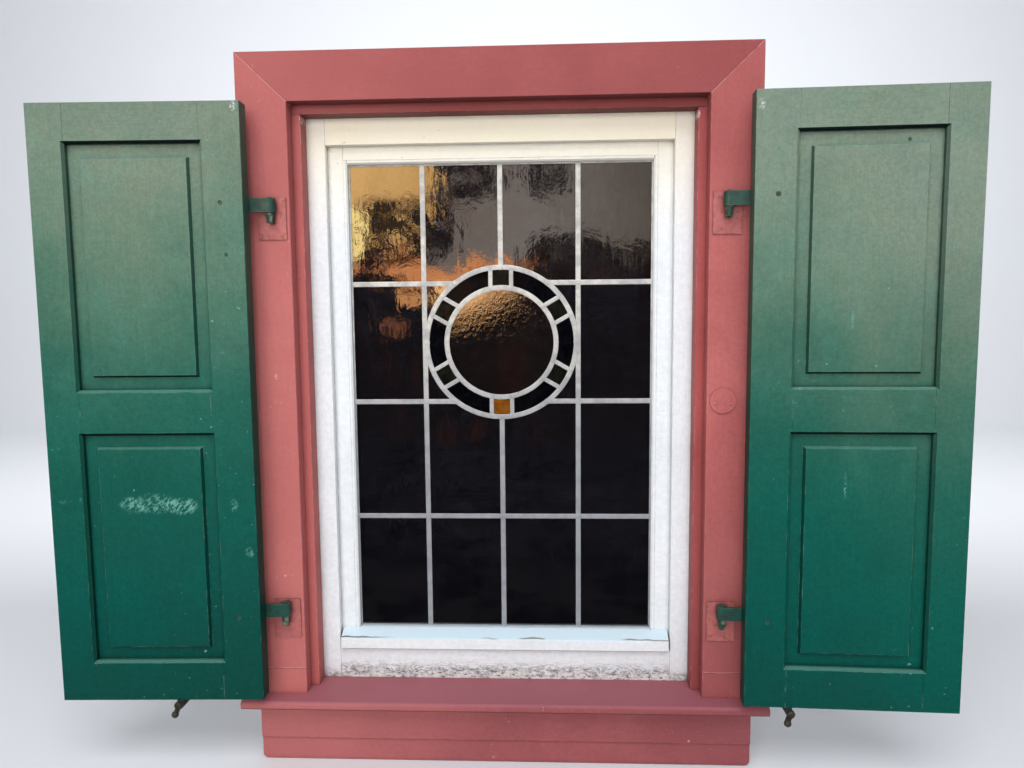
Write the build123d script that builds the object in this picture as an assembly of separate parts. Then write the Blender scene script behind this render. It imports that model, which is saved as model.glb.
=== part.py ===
from build123d import *
import math
import os

# A casement window with a leaded panel, its painted surround and a pair of panelled shutters.
# Millimetres. X runs to the right as seen from outside, Y runs into the wall, Z is up.
# The wall's outer face is the plane Y = 0. The origin is the centre of the upper apron's back face.

# How far a cutting solid runs past what it cuts
OVERCUT = 1.0

# Surround boards
FRAME_W = 774.0
FRAME_H = 1114.9
FRAME_D = 60.0
CASING_T = 28.0
CASING_JAMB_W = 92.25
CASING_HEAD_W = 88.3
CASING_FOOT_H = 47.5
LINING_T = 26.0
LINING_D = 34.0
LINING_MARGIN = 16.5
BOARD_EASE = 2.0

# Sill and aprons
SILL_T = 22.0
SILL_PROJECTION = 34.0
SILL_FALL = 5.0
SILL_HORN = 25.75
SILL_NOSE_R = 7.0
APRON_UPPER_H = 72.0
APRON_UPPER_T = 28.0
APRON_LOWER_H = 44.5
APRON_LOWER_T = 24.0
APRON_CORNER_R = 10.0

# Fixed frame
LIP_D = 15.5
LIP_JAMB_W = 60.7
LIP_HEAD_W = 74.5
LIP_BOTTOM_W = 59.4
REBATE = 13.0
FRAME_EASE = 2.0
FIXING_HOLE_R = 4.0
FIXING_HOLE_INSET = 24.0
FIXING_SPACING = 600.0

# Sash
SASH_GAP = 3.0
SASH_SEAT_GAP = 0.5
SASH_STILE_W = 39.0
SASH_TOP_W = 35.4
SASH_BOTTOM_W = 40.1
SASH_SHOULDER = 10.3
SASH_SHOULDER_BOTTOM = 4.0
BEAD_W = 7.0
BEAD_D = 11.0
BEAD_BEVEL = 3.0
WEATHER_BAR_D = 26.0
WEATHER_BAR_FACE = 22.0
WEATHER_BAR_END_GAP = 3.3
WEATHER_BAR_LIFT = 2.0
WEATHER_BAR_CORNER = 2.5
DRIP_R = 2.0
DRIP_INSET = 8.0

# Leaded panel
GLASS_T = 3.0
GLASS_GAP = 0.3
CAME_W = 9.6
CAME_LEAF = 1.2
CAME_HEART = 1.6
CAME_BEVEL_W = 1.5
CAME_BEVEL_D = 0.5
BORDER_W = 7.0
PANEL_PLAY = 2.8
PANEL_FRONT_GAP = 0.2
PANEL_BACK_GAP = 0.4
ROW_PITCH = 229.5
RING_R = 145.2
RING_TO_COLUMN = 3.6
INNER_RING_R = 106.2
RING_STATIONS = 6
RING_BAR_W = 8.0
RING_SQUARE_W = 40.0
SPANDREL_TIP = 36.0

# Shutters
SHUTTER_T = 32.0
SHUTTER_SIDE_GAP = 1.5
SHUTTER_MEETING_GAP = 3.0
SHUTTER_TOP_GAP = 11.4
SHUTTER_BOTTOM_GAP = 13.0
SHUTTER_STOP_GAP = 0.5
HINGE_STILE_W = 68.5
MEETING_STILE_W = 60.0
TOP_RAIL_W = 65.0
MIDDLE_RAIL_W = 73.5
MIDDLE_RAIL_RISE = 502.0
BOTTOM_RAIL_W = 71.0
MOULDING = 4.5
GROOVE_D = 10.0
GROOVE_PLAY = 0.3
TONGUE_L = 8.0
TONGUE_T = 8.0
FIELD_INSET = 22.5
FIELD_BEVEL = 3.0
FIELD_RECESS = 4.5
SHUTTER_EASE = 2.0
REST_TILT = {"left": 1.9, "right": 2.45}

# Shutter hinges
PIVOT_INSET = 31.5
PIVOT_STANDOFF = 14.25
STRAP_T = 5.0
STRAP_H = 25.0
STRAP_REACH = 62.0
STRAP_END_R = 5.0
STRAP_FROM_TOP = 173.0
STRAP_FROM_BOTTOM = 157.5
EYE_R = 10.0
PIN_R = 5.0
PIN_PLAY = 0.05
PIN_RISE = 2.5
PIN_CHAMFER = 1.0
SEAT_GAP = 0.3
SHOULDER_R = 7.5
SHOULDER_FOOT_R = 6.0
SHOULDER_L = 18.5
PINTLE_WEB_T = 8.0
PINTLE_PLATE_W = 51.0
PINTLE_PLATE_T = 2.5
PINTLE_PLATE_UP = 15.0
PINTLE_PLATE_DOWN = 60.0
BOLT_INSET = 40.0
BOLT_R = 4.3
BOLT_PLAY = 0.2
BOLT_HEAD_R = 8.0
BOLT_HEAD_T = 3.5
BOLT_HEAD_CHAMFER = 1.75
BOLT_END_RECESS = 1.5

# Cover plate on the right jamb
COVER_R = 23.5
COVER_T = 3.0
COVER_EASE = 1.0
COVER_INSET = 29.0
COVER_RISE = 562.4
COVER_SCREW_SPAN = 27.0
COVER_SCREW_DROP = 4.4
SCREW_HEAD_R = 3.5
SCREW_HEAD_T = 1.4
SCREW_CHAMFER = 0.7
SCREW_R = 2.0
SCREW_L = 20.0
SCREW_PLAY = 0.1

# Shutter dogs
DOG_REACH = {"left": 156.0, "right": 79.5}
STAY_W = 8.0
STAY_H = 16.0
STAY_TAIL = 60.0
STAY_TOP_GAP = 0.4
DOG_PIN_R = 4.0
DOG_PIN_PLAY = 0.05
DOG_HEAD_R = 6.0
DOG_HEAD_T = 2.5
DOG_HEAD_CHAMFER = 1.25
DOG_T = 6.0
DOG_FACE_GAP = 1.5
DOG_SIDE_GAP = 0.3
DOG_EYE_R = 7.5
DOG_ARM = 17.0
DOG_ARM_W = 8.0
DOG_KNOB_R = 6.5
DOG_LEAN = 20.0

# Sash hinges
KNUCKLE_R = 5.5
HINGE_LEAF_T = 2.5
HINGE_LEAF_W = 26.0
HINGE_H = 80.0
HINGE_INSET = 150.0
HINGE_PIN_R = 3.0
HINGE_PLAY = 0.05
HINGE_CLEAR = 0.4

# Bolt on the free stile
ROD_W = 10.0
ROD_T = 6.0
ROD_TRAVEL = 18.0
ROD_INSET = 2.0
ROD_GRIP = 9.0
ROD_PLAY = 0.3
ROD_START = 15.0
CASE_W = 24.0
CASE_H = 90.0
CASE_T = 16.0
CASE_EASE = 2.0
GUIDE_W = 26.0
GUIDE_H = 14.0
GUIDE_WALL = 2.5
GUIDE_INSET = 60.0
GUIDE_SPACING = 180.0
NECK_R = 6.0
NECK_PLAY = 0.05
NECK_BED = 6.0
COLLAR_R = 9.0
COLLAR_T = 3.0
HANDLE_GAP = 16.0
OLIVE_L = 56.0
OLIVE_R = 11.0
OLIVE_END_R = 4.0

# Heights worked out from the boards
SILL_UNDER = APRON_UPPER_H / 2
SILL_TOP = SILL_UNDER + SILL_T
FRAME_TOP = SILL_TOP + FRAME_H
LINING_TOP = FRAME_TOP - LINING_T
OPENING_TOP = LINING_TOP + LINING_MARGIN
CASING_TOP = OPENING_TOP + CASING_HEAD_W
LIP_TOP = FRAME_TOP - LIP_HEAD_W
LIP_BOTTOM = SILL_TOP + LIP_BOTTOM_W
SASH_TOP = LIP_TOP + REBATE - SASH_GAP
SASH_BOTTOM = LIP_BOTTOM - REBATE + SASH_GAP
GLAZING_TOP = SASH_TOP - SASH_TOP_W
GLAZING_BOTTOM = SASH_BOTTOM + SASH_BOTTOM_W
SIGHT_BOTTOM = GLAZING_BOTTOM + BEAD_W

# Half widths worked out from the boards
FRAME_OUTER = FRAME_W / 2
LINING_INNER = FRAME_OUTER - LINING_T
OPENING_HALF = LINING_INNER + LINING_MARGIN
CASING_OUTER = OPENING_HALF + CASING_JAMB_W
SILL_HALF = CASING_OUTER + SILL_HORN
LIP_INNER = FRAME_OUTER - LIP_JAMB_W
SASH_OUTER = LIP_INNER + REBATE - SASH_GAP
GLAZING_HALF = SASH_OUTER - SASH_STILE_W
SIGHT_HALF = GLAZING_HALF - BEAD_W
SHOULDER_HALF = GLAZING_HALF - SASH_SHOULDER

# Depths worked out from the boards
CASING_FACE = -CASING_T
SILL_NOSE = CASING_FACE - SILL_PROJECTION
FRAME_FACE = LINING_D
FRAME_BACK = FRAME_FACE + FRAME_D
LIP_BACK = FRAME_FACE + LIP_D
SASH_FACE = LIP_BACK + SASH_SEAT_GAP
BEAD_BACK = SASH_FACE + BEAD_D
CAME_T = 2 * CAME_LEAF + GLASS_T + 2 * GLASS_GAP
CAME_FACE = BEAD_BACK + PANEL_FRONT_GAP
CAME_BACK = CAME_FACE + CAME_T
GLASS_FACE = CAME_FACE + CAME_LEAF + GLASS_GAP
SHOULDER_FACE = CAME_BACK + PANEL_BACK_GAP

# Places in the leaded panel
PANEL_HALF = GLAZING_HALF - PANEL_PLAY
PANEL_BASE = GLAZING_BOTTOM + PANEL_PLAY
PANEL_TOP = GLAZING_TOP - PANEL_PLAY
PANEL_MID = (PANEL_BASE + PANEL_TOP) / 2
RING_Z = PANEL_MID + ROW_PITCH / 2
RING_EDGE = RING_R + CAME_W / 2
COLUMN_PITCH = RING_R + RING_TO_COLUMN
GLASS_INSET = CAME_HEART / 2 + GLASS_GAP
BORDER_INNER = PANEL_HALF - BORDER_W

# Places of the shutters, swung flat against the wall
PIVOT_X = OPENING_HALF + PIVOT_INSET
PIVOT_Y = CASING_FACE - PIVOT_STANDOFF
SHUTTER_W = OPENING_HALF - SHUTTER_SIDE_GAP - SHUTTER_MEETING_GAP / 2
HINGE_EDGE = 2 * PIVOT_X - (OPENING_HALF - SHUTTER_SIDE_GAP)
MEETING_EDGE = HINGE_EDGE + SHUTTER_W
SHUTTER_FACE = 2 * PIVOT_Y + SHUTTER_STOP_GAP
SHUTTER_BACK = SHUTTER_FACE + SHUTTER_T
SHUTTER_MID = (SHUTTER_FACE + SHUTTER_BACK) / 2
SHUTTER_BOTTOM = SILL_TOP + SHUTTER_BOTTOM_GAP
SHUTTER_TOP = OPENING_TOP - SHUTTER_TOP_GAP
MIDDLE_RAIL_Z = SHUTTER_BOTTOM + MIDDLE_RAIL_RISE
DOG_X = {"left": -(HINGE_EDGE + DOG_REACH["left"]), "right": HINGE_EDGE + DOG_REACH["right"]}
STRAP_HEIGHTS = (SHUTTER_BOTTOM + STRAP_FROM_BOTTOM, SHUTTER_TOP - STRAP_FROM_TOP)

# Places of the room-side fittings
HINGE_AXIS_X = -(SASH_OUTER + SASH_GAP / 2)
HINGE_AXIS_Y = FRAME_BACK + KNUCKLE_R
HINGE_HEIGHTS = (SASH_BOTTOM + HINGE_INSET, SASH_TOP - HINGE_INSET)
ROD_X = (SHOULDER_HALF + SASH_OUTER) / 2
BOLT_Z = (SASH_BOTTOM + SASH_TOP) / 2
CASE_FACE = FRAME_BACK + CASE_T


def block(x0, x1, y0, y1, z0, z1):
    """Box between two corners."""
    centre = Pos((x0 + x1) / 2, (y0 + y1) / 2, (z0 + z1) / 2)
    return centre * Box(x1 - x0, y1 - y0, z1 - z0)


def along_x(points, x0, x1):
    """Outline of (y, z) points, drawn out from x0 to x1."""
    face = Plane.YZ.offset(x0) * Polygon(*points, align=None)
    return extrude(face, amount=x1 - x0, dir=(1, 0, 0))


def along_y(points, y0, y1):
    """Outline of (x, z) points, drawn out from y0 to y1."""
    face = Plane.XZ.offset(-y0) * Polygon(*points, align=None)
    return extrude(face, amount=y1 - y0, dir=(0, 1, 0))


def along_z(points, z0, z1):
    """Outline of (x, y) points, drawn out from z0 to z1."""
    face = Plane.XY.offset(z0) * Polygon(*points, align=None)
    return extrude(face, amount=z1 - z0, dir=(0, 0, 1))


def post(x, y, z0, z1, radius):
    """Upright cylinder."""
    return Pos(x, y, (z0 + z1) / 2) * Cylinder(radius, z1 - z0)


def disc(x, z, y0, y1, radius):
    """Cylinder along Y."""
    return Pos(x, (y0 + y1) / 2, z) * Rot(90, 0, 0) * Cylinder(radius, y1 - y0)


def ring(x, z, y0, y1, outer, inner):
    """Flat ring in the window's plane."""
    return disc(x, z, y0, y1, outer) - disc(x, z, y0 - OVERCUT, y1 + OVERCUT, inner)


def ease_face(shape, face_index, axis, radius):
    """Round the edges of the foremost (0) or rearmost (-1) face that run along one axis."""
    face = shape.faces().sort_by(Axis.Y)[face_index]
    return fillet(face.edges().filter_by(axis), radius)


def mirrored(shape):
    """The same shape on the other side of the window's middle."""
    return mirror(shape, about=Plane.YZ)


def sill_surface(y):
    """Height of the sill's top at a depth: flat under the frame, falling towards the nose."""
    if y >= FRAME_FACE:
        return SILL_TOP
    return SILL_TOP - SILL_FALL * (FRAME_FACE - y) / (FRAME_FACE - SILL_NOSE)


def standing_board(x0, x1, y0, y1, top):
    """Upright board whose foot is cut to the sill's fall."""
    outline = [(y0, sill_surface(y0)), (y1, sill_surface(y1)), (y1, top), (y0, top)]
    return along_x(outline, x0, x1)


def casing_head():
    corners = [
        (-OPENING_HALF, OPENING_TOP),
        (OPENING_HALF, OPENING_TOP),
        (CASING_OUTER, CASING_TOP),
        (-CASING_OUTER, CASING_TOP),
    ]
    return ease_face(along_y(corners, CASING_FACE, 0), 0, Axis.X, BOARD_EASE)


def casing_jamb():
    """Right jamb board, mitred to the head and standing on its spliced foot."""
    foot_top = SILL_TOP + CASING_FOOT_H
    corners = [
        (OPENING_HALF, foot_top),
        (CASING_OUTER, foot_top),
        (CASING_OUTER, CASING_TOP),
        (OPENING_HALF, OPENING_TOP),
    ]
    return ease_face(along_y(corners, CASING_FACE, 0), 0, Axis.Z, BOARD_EASE)


def casing_foot():
    board = standing_board(OPENING_HALF, CASING_OUTER, CASING_FACE, 0, SILL_TOP + CASING_FOOT_H)
    return ease_face(board, 0, Axis.Z, BOARD_EASE)


def cover_screw_places():
    """Centres of the cover plate's screws."""
    x = OPENING_HALF + COVER_INSET
    z = SILL_TOP + COVER_RISE - COVER_SCREW_DROP
    return [(x - COVER_SCREW_SPAN / 2, z), (x + COVER_SCREW_SPAN / 2, z)]


def cover_screw_holes():
    """Holes for the cover plate's screws, through the plate and into the jamb."""
    face = CASING_FACE - COVER_T
    radius = SCREW_R + SCREW_PLAY
    return [disc(x, z, face - OVERCUT, face + SCREW_L, radius) for x, z in cover_screw_places()]


def cover_plate():
    face = CASING_FACE - COVER_T
    plate = disc(OPENING_HALF + COVER_INSET, SILL_TOP + COVER_RISE, face, CASING_FACE, COVER_R)
    plate = fillet(plate.faces().sort_by(Axis.Y)[0].edges(), COVER_EASE)
    return plate - cover_screw_holes()


def cover_plate_screws():
    face = CASING_FACE - COVER_T
    screws = []
    for x, z in cover_screw_places():
        head = disc(x, z, face - SCREW_HEAD_T, face, SCREW_HEAD_R)
        head = chamfer(head.faces().sort_by(Axis.Y)[0].edges(), SCREW_CHAMFER)
        screws.append(head + disc(x, z, face, face + SCREW_L - SCREW_PLAY, SCREW_R))
    return Compound(children=screws)


def lining_head():
    return block(-FRAME_OUTER, FRAME_OUTER, 0, LINING_D, LINING_TOP, FRAME_TOP)


def lining_jamb():
    return standing_board(LINING_INNER, FRAME_OUTER, 0, LINING_D, LINING_TOP)


def sill_board():
    """Sill with a rounded nose and two horns in front of the wall."""
    front = [
        (SILL_NOSE, SILL_UNDER),
        (0, SILL_UNDER),
        (0, sill_surface(0)),
        (SILL_NOSE, sill_surface(SILL_NOSE)),
    ]
    back = [
        (0, SILL_UNDER),
        (FRAME_BACK, SILL_UNDER),
        (FRAME_BACK, SILL_TOP),
        (FRAME_FACE, SILL_TOP),
        (0, sill_surface(0)),
    ]
    nose = along_x(front, -SILL_HALF, SILL_HALF)
    nose = fillet(nose.faces().sort_by(Axis.Y)[0].edges().filter_by(Axis.X), SILL_NOSE_R)
    return nose + along_x(back, -FRAME_OUTER, FRAME_OUTER)


def apron_upper():
    return block(-CASING_OUTER, CASING_OUTER, -APRON_UPPER_T, 0, SILL_UNDER - APRON_UPPER_H, SILL_UNDER)


def apron_lower():
    """Lower board with rounded bottom corners and an eased lower edge."""
    top = SILL_UNDER - APRON_UPPER_H
    board = block(-CASING_OUTER, CASING_OUTER, -APRON_LOWER_T, 0, top - APRON_LOWER_H, top)
    corners = board.faces().sort_by(Axis.Z)[0].edges().filter_by(Axis.Y)
    return fillet(corners, APRON_CORNER_R)


def frame_bar(lip, back):
    """Frame member made of its lip and the deeper part behind the lip, as (x0, x1, z0, z1) each."""
    front_part = block(lip[0], lip[1], FRAME_FACE, LIP_BACK, lip[2], lip[3])
    back_part = block(back[0], back[1], LIP_BACK, FRAME_BACK, back[2], back[3])
    return front_part, back_part


def frame_head():
    reach = LIP_INNER + REBATE
    lip = (-LIP_INNER, LIP_INNER, LIP_TOP, FRAME_TOP)
    back = (-reach, reach, LIP_TOP + REBATE, FRAME_TOP)
    front_part, back_part = frame_bar(lip, back)
    lower_edge = front_part.faces().sort_by(Axis.Y)[0].edges().filter_by(Axis.X).sort_by(Axis.Z)[0]
    return fillet(lower_edge, FRAME_EASE) + back_part


def frame_bottom_rail():
    reach = LIP_INNER + REBATE
    lip = (-LIP_INNER, LIP_INNER, SILL_TOP, LIP_BOTTOM)
    back = (-reach, reach, SILL_TOP, LIP_BOTTOM - REBATE)
    front_part, back_part = frame_bar(lip, back)
    upper_edge = front_part.faces().sort_by(Axis.Y)[0].edges().filter_by(Axis.X).sort_by(Axis.Z)[-1]
    return fillet(upper_edge, FRAME_EASE) + back_part


def frame_jamb():
    """Right jamb of the fixed frame, bored across for the two wall fixings."""
    lip = (LIP_INNER, FRAME_OUTER, SILL_TOP, FRAME_TOP)
    back = (LIP_INNER + REBATE, FRAME_OUTER, SILL_TOP, FRAME_TOP)
    front_part, back_part = frame_bar(lip, back)
    inner_edge = front_part.faces().sort_by(Axis.Y)[0].edges().filter_by(Axis.Z).sort_by(Axis.X)[0]
    jamb = fillet(inner_edge, FRAME_EASE) + back_part
    middle = (SILL_TOP + FRAME_TOP) / 2
    for z in (middle - FIXING_SPACING / 2, middle + FIXING_SPACING / 2):
        bore = Rot(0, 90, 0) * Cylinder(FIXING_HOLE_R, 2 * LIP_JAMB_W + 2 * OVERCUT)
        jamb -= Pos(FRAME_OUTER, FRAME_BACK - FIXING_HOLE_INSET, z) * bore
    return jamb


def sash_stile():
    """Right stile: the glazing rebate is open to the front and closed by the beads."""
    front = block(GLAZING_HALF, SASH_OUTER, SASH_FACE, SHOULDER_FACE, SASH_BOTTOM, SASH_TOP)
    back = block(SHOULDER_HALF, SASH_OUTER, SHOULDER_FACE, FRAME_BACK, SASH_BOTTOM, SASH_TOP)
    return front + back


def sash_top_rail():
    front = block(-GLAZING_HALF, GLAZING_HALF, SASH_FACE, SHOULDER_FACE, GLAZING_TOP, SASH_TOP)
    low = GLAZING_TOP - SASH_SHOULDER
    return front + block(-SHOULDER_HALF, SHOULDER_HALF, SHOULDER_FACE, FRAME_BACK, low, SASH_TOP)


def sash_bottom_rail():
    front = block(-GLAZING_HALF, GLAZING_HALF, SASH_FACE, SHOULDER_FACE, SASH_BOTTOM, GLAZING_BOTTOM)
    high = GLAZING_BOTTOM + SASH_SHOULDER_BOTTOM
    return front + block(-SHOULDER_HALF, SHOULDER_HALF, SHOULDER_FACE, FRAME_BACK, SASH_BOTTOM, high)


def weather_bar():
    """Bar on the bottom rail that throws water clear of the frame, with a drip groove below."""
    half = LIP_INNER - WEATHER_BAR_END_GAP
    under = LIP_BOTTOM + WEATHER_BAR_LIFT
    nose = SASH_FACE - WEATHER_BAR_D
    outline = [
        (SASH_FACE, under),
        (SASH_FACE, SIGHT_BOTTOM),
        (nose + WEATHER_BAR_CORNER, under + WEATHER_BAR_FACE + WEATHER_BAR_CORNER),
        (nose, under + WEATHER_BAR_FACE),
        (nose, under + WEATHER_BAR_CORNER),
        (nose + WEATHER_BAR_CORNER, under),
    ]
    bar = along_x(outline, -half, half)
    groove = Rot(0, 90, 0) * Cylinder(DRIP_R, 2 * half + 2 * OVERCUT)
    return bar - Pos(0, nose + DRIP_INSET, under) * groove


def glazing_beads():
    """Four bevelled beads that hold the leaded panel in the sash."""
    side = along_z(
        [
            (GLAZING_HALF, SASH_FACE),
            (GLAZING_HALF, BEAD_BACK),
            (SIGHT_HALF, BEAD_BACK),
            (SIGHT_HALF, SASH_FACE + BEAD_BEVEL),
            (SIGHT_HALF + BEAD_BEVEL, SASH_FACE),
        ],
        GLAZING_BOTTOM,
        GLAZING_TOP,
    )
    beads = [side, mirrored(side)]
    for edge, inward in ((GLAZING_BOTTOM, 1), (GLAZING_TOP, -1)):
        outline = [
            (SASH_FACE, edge),
            (BEAD_BACK, edge),
            (BEAD_BACK, edge + inward * BEAD_W),
            (SASH_FACE + BEAD_BEVEL, edge + inward * BEAD_W),
            (SASH_FACE, edge + inward * (BEAD_W - BEAD_BEVEL)),
        ]
        beads.append(along_x(outline, -SIGHT_HALF, SIGHT_HALF))
    return Compound(children=beads)


def came_outline(width):
    """Outline of a lead strip across its run: two leaves joined by a heart, as (across, depth)."""
    half = width / 2
    heart = CAME_HEART / 2
    front = CAME_FACE + CAME_LEAF
    back = CAME_BACK - CAME_LEAF
    right = [
        (half - CAME_BEVEL_W, CAME_FACE),
        (half, CAME_FACE + CAME_BEVEL_D),
        (half, front),
        (heart, front),
        (heart, back),
        (half, back),
        (half, CAME_BACK - CAME_BEVEL_D),
        (half - CAME_BEVEL_W, CAME_BACK),
    ]
    left = [(-across, depth) for across, depth in reversed(right)]
    return right + left


def upright_came(x, z0, z1):
    return along_z([(x + across, depth) for across, depth in came_outline(CAME_W)], z0, z1)


def level_came(z, x0, x1):
    return along_x([(depth, z + across) for across, depth in came_outline(CAME_W)], x0, x1)


def ring_hole():
    """Everything inside the outer ring's edge."""
    return disc(0, RING_Z, CAME_FACE - OVERCUT, CAME_BACK + OVERCUT, RING_EDGE)


def lead_border():
    """U-shaped lead strip round the panel's edge, in one frame."""
    outer = block(-PANEL_HALF, PANEL_HALF, CAME_FACE, CAME_BACK, PANEL_BASE, PANEL_TOP)
    window = block(
        -BORDER_INNER,
        BORDER_INNER,
        CAME_FACE - OVERCUT,
        CAME_BACK + OVERCUT,
        PANEL_BASE + BORDER_W,
        PANEL_TOP - BORDER_W,
    )
    web = CAME_HEART
    channel = block(
        -PANEL_HALF + web,
        PANEL_HALF - web,
        CAME_FACE + CAME_LEAF,
        CAME_BACK - CAME_LEAF,
        PANEL_BASE + web,
        PANEL_TOP - web,
    )
    return outer - window - channel


def lead_bars():
    """Straight leads: three uprights and three levels, cut where they meet and at the ring."""
    low = PANEL_BASE + BORDER_W
    high = PANEL_TOP - BORDER_W
    half = CAME_W / 2
    bars = [
        upright_came(-COLUMN_PITCH, low, high) - ring_hole(),
        upright_came(COLUMN_PITCH, low, high) - ring_hole(),
        upright_came(0, RING_Z + RING_R, high) - ring_hole(),
        upright_came(0, low, RING_Z - RING_R) - ring_hole(),
    ]
    columns = [-BORDER_INNER - half, -COLUMN_PITCH, 0, COLUMN_PITCH, BORDER_INNER + half]
    for row in (-1, 0, 1):
        z = PANEL_MID + row * ROW_PITCH
        crosses_ring = abs(z - RING_Z) < RING_R
        for left, right in zip(columns, columns[1:]):
            start = left + half
            end = right - half
            if crosses_ring and right == 0:
                end = 0
            if crosses_ring and left == 0:
                start = 0
            bars.append(level_came(z, start, end) - ring_hole())
    return Compound(children=[solid for bar in bars for solid in bar.solids()])


def lead_ring(radius):
    """Round lead strip with its heart on the given radius."""
    section = [(radius + across, depth) for across, depth in came_outline(CAME_W)]
    profile = Plane.XY * Polygon(*section, align=None)
    turned = revolve(profile, Axis.Y, 360)
    return Pos(0, 0, RING_Z) * turned


def station_turn(number):
    """Turn about the ring's centre that brings the top station to another station."""
    centre = Pos(0, 0, RING_Z)
    return centre * Rot(0, number * 360 / RING_STATIONS, 0)


def rosette_leads():
    """Outer and inner ring with a pair of short bars at each station between them."""
    leads = [lead_ring(RING_R), lead_ring(INNER_RING_R)]
    outer = RING_R - CAME_W / 2
    inner = INNER_RING_R + CAME_W / 2
    gap = ring(0, 0, CAME_FACE - OVERCUT, CAME_BACK + OVERCUT, outer, inner)
    for number in range(RING_STATIONS):
        for side in (-1, 1):
            x = side * RING_SQUARE_W / 2
            outline = [(x + across, depth) for across, depth in came_outline(RING_BAR_W)]
            bar = along_z(outline, INNER_RING_R / 2, RING_R) & gap
            leads.append(station_turn(number) * bar)
    return Compound(children=[solid for lead in leads for solid in lead.solids()])


def pane(x0, x1, z0, z1):
    return block(x0, x1, GLASS_FACE, GLASS_FACE + GLASS_T, z0, z1)


def glass_panes():
    """Clear panes between the straight leads, some of them cut round the ring."""
    edge = PANEL_HALF - CAME_HEART - GLASS_GAP
    rows = [PANEL_MID + row * ROW_PITCH for row in (-1, 0, 1)]
    floors = [PANEL_BASE + CAME_HEART + GLASS_GAP] + [z + GLASS_INSET for z in rows]
    roofs = [z - GLASS_INSET for z in rows] + [PANEL_TOP - CAME_HEART - GLASS_GAP]
    front = GLASS_FACE - OVERCUT
    back = GLASS_FACE + GLASS_T + OVERCUT
    clear_of_ring = disc(0, RING_Z, front, back, RING_R + GLASS_INSET)
    tips = block(-edge, edge, front, back, RING_Z - SPANDREL_TIP, RING_Z + SPANDREL_TIP)
    panes = []
    for floor, roof in zip(floors, roofs):
        outer = pane(COLUMN_PITCH + GLASS_INSET, edge, floor, roof)
        inner = pane(GLASS_INSET, COLUMN_PITCH - GLASS_INSET, floor, roof)
        if floor < RING_Z < roof:
            inner = pane(0, COLUMN_PITCH - GLASS_INSET, floor, roof) - tips
        inner = inner - clear_of_ring
        panes += [outer, inner, mirrored(outer), mirrored(inner)]
    return Compound(children=[solid for piece in panes for solid in piece.solids()])


def glass_band():
    """Ring of glass between the two round leads."""
    outer = RING_R - GLASS_INSET
    inner = INNER_RING_R + GLASS_INSET
    return ring(0, 0, GLASS_FACE, GLASS_FACE + GLASS_T, outer, inner)


def glass_arcs():
    """Six long panes of the ring, between the pairs of short bars."""
    band = Pos(0, 0, RING_Z) * glass_band()
    half = RING_SQUARE_W / 2 + GLASS_INSET
    front = GLASS_FACE - OVERCUT
    back = GLASS_FACE + GLASS_T + OVERCUT
    for number in range(RING_STATIONS):
        band -= station_turn(number) * block(-half, half, front, back, 0, 2 * RING_R)
    return Compound(children=list(band.solids()))


def glass_square(number):
    """Nearly square pane between the pair of short bars of one station."""
    half = RING_SQUARE_W / 2 - GLASS_INSET
    square = glass_band() & pane(-half, half, 0, 2 * RING_R)
    return station_turn(number) * square


def glass_squares_olive():
    bottom = RING_STATIONS // 2
    stations = [number for number in range(RING_STATIONS) if number != bottom]
    return Compound(children=[glass_square(number) for number in stations])


def glass_square_amber():
    return glass_square(RING_STATIONS // 2)


def glass_roundel():
    return disc(0, RING_Z, GLASS_FACE, GLASS_FACE + GLASS_T, INNER_RING_R - GLASS_INSET)


def shutter_rails():
    """Low and high edge of each rail, measured on the shutter's face."""
    return {
        "bottom": (SHUTTER_BOTTOM, SHUTTER_BOTTOM + BOTTOM_RAIL_W),
        "middle": (MIDDLE_RAIL_Z, MIDDLE_RAIL_Z + MIDDLE_RAIL_W),
        "top": (SHUTTER_TOP - TOP_RAIL_W, SHUTTER_TOP),
    }


def panel_openings():
    """The two panel openings as (x0, x1, z0, z1), measured on the shutter's face."""
    rails = shutter_rails()
    x0 = HINGE_EDGE + HINGE_STILE_W
    x1 = MEETING_EDGE - MEETING_STILE_W
    lower = (x0, x1, rails["bottom"][1], rails["middle"][0])
    upper = (x0, x1, rails["middle"][1], rails["top"][0])
    return {"lower": lower, "upper": upper}


def inset(opening, distance):
    """The same opening drawn in on all sides."""
    x0, x1, z0, z1 = opening
    return (x0 + distance, x1 - distance, z0 + distance, z1 - distance)


def rectangle(opening, y):
    """Rectangle of an opening in the plane of one depth."""
    x0, x1, z0, z1 = opening
    corners = [(x0, y, z0), (x1, y, z0), (x1, y, z1), (x0, y, z1)]
    return make_face(Polyline(*corners, close=True))


def frustum(opening, y, top, y_top):
    """Solid between two rectangles at two depths."""
    return loft([rectangle(opening, y), rectangle(top, y_top)], ruled=True)


def panel_cutters(opening):
    """What the members lose round one panel: a bevel on both faces and the panel's groove."""
    narrow = inset(opening, MOULDING)
    wide = inset(opening, -MOULDING)
    front = frustum(wide, SHUTTER_FACE - MOULDING, narrow, SHUTTER_FACE + MOULDING)
    back = frustum(wide, SHUTTER_BACK + MOULDING, narrow, SHUTTER_BACK - MOULDING)
    x0, x1, z0, z1 = inset(narrow, -GROOVE_D)
    half = TONGUE_T / 2 + GROOVE_PLAY
    groove = block(x0, x1, SHUTTER_MID - half, SHUTTER_MID + half, z0, z1)
    return [front, back, groove]


def bolt_bores():
    """Holes through the hinge stile for the strap bolts."""
    x = HINGE_EDGE + BOLT_INSET
    front = SHUTTER_FACE - OVERCUT
    back = SHUTTER_BACK + OVERCUT
    return [disc(x, z, front, back, BOLT_R + BOLT_PLAY) for z in STRAP_HEIGHTS]


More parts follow.
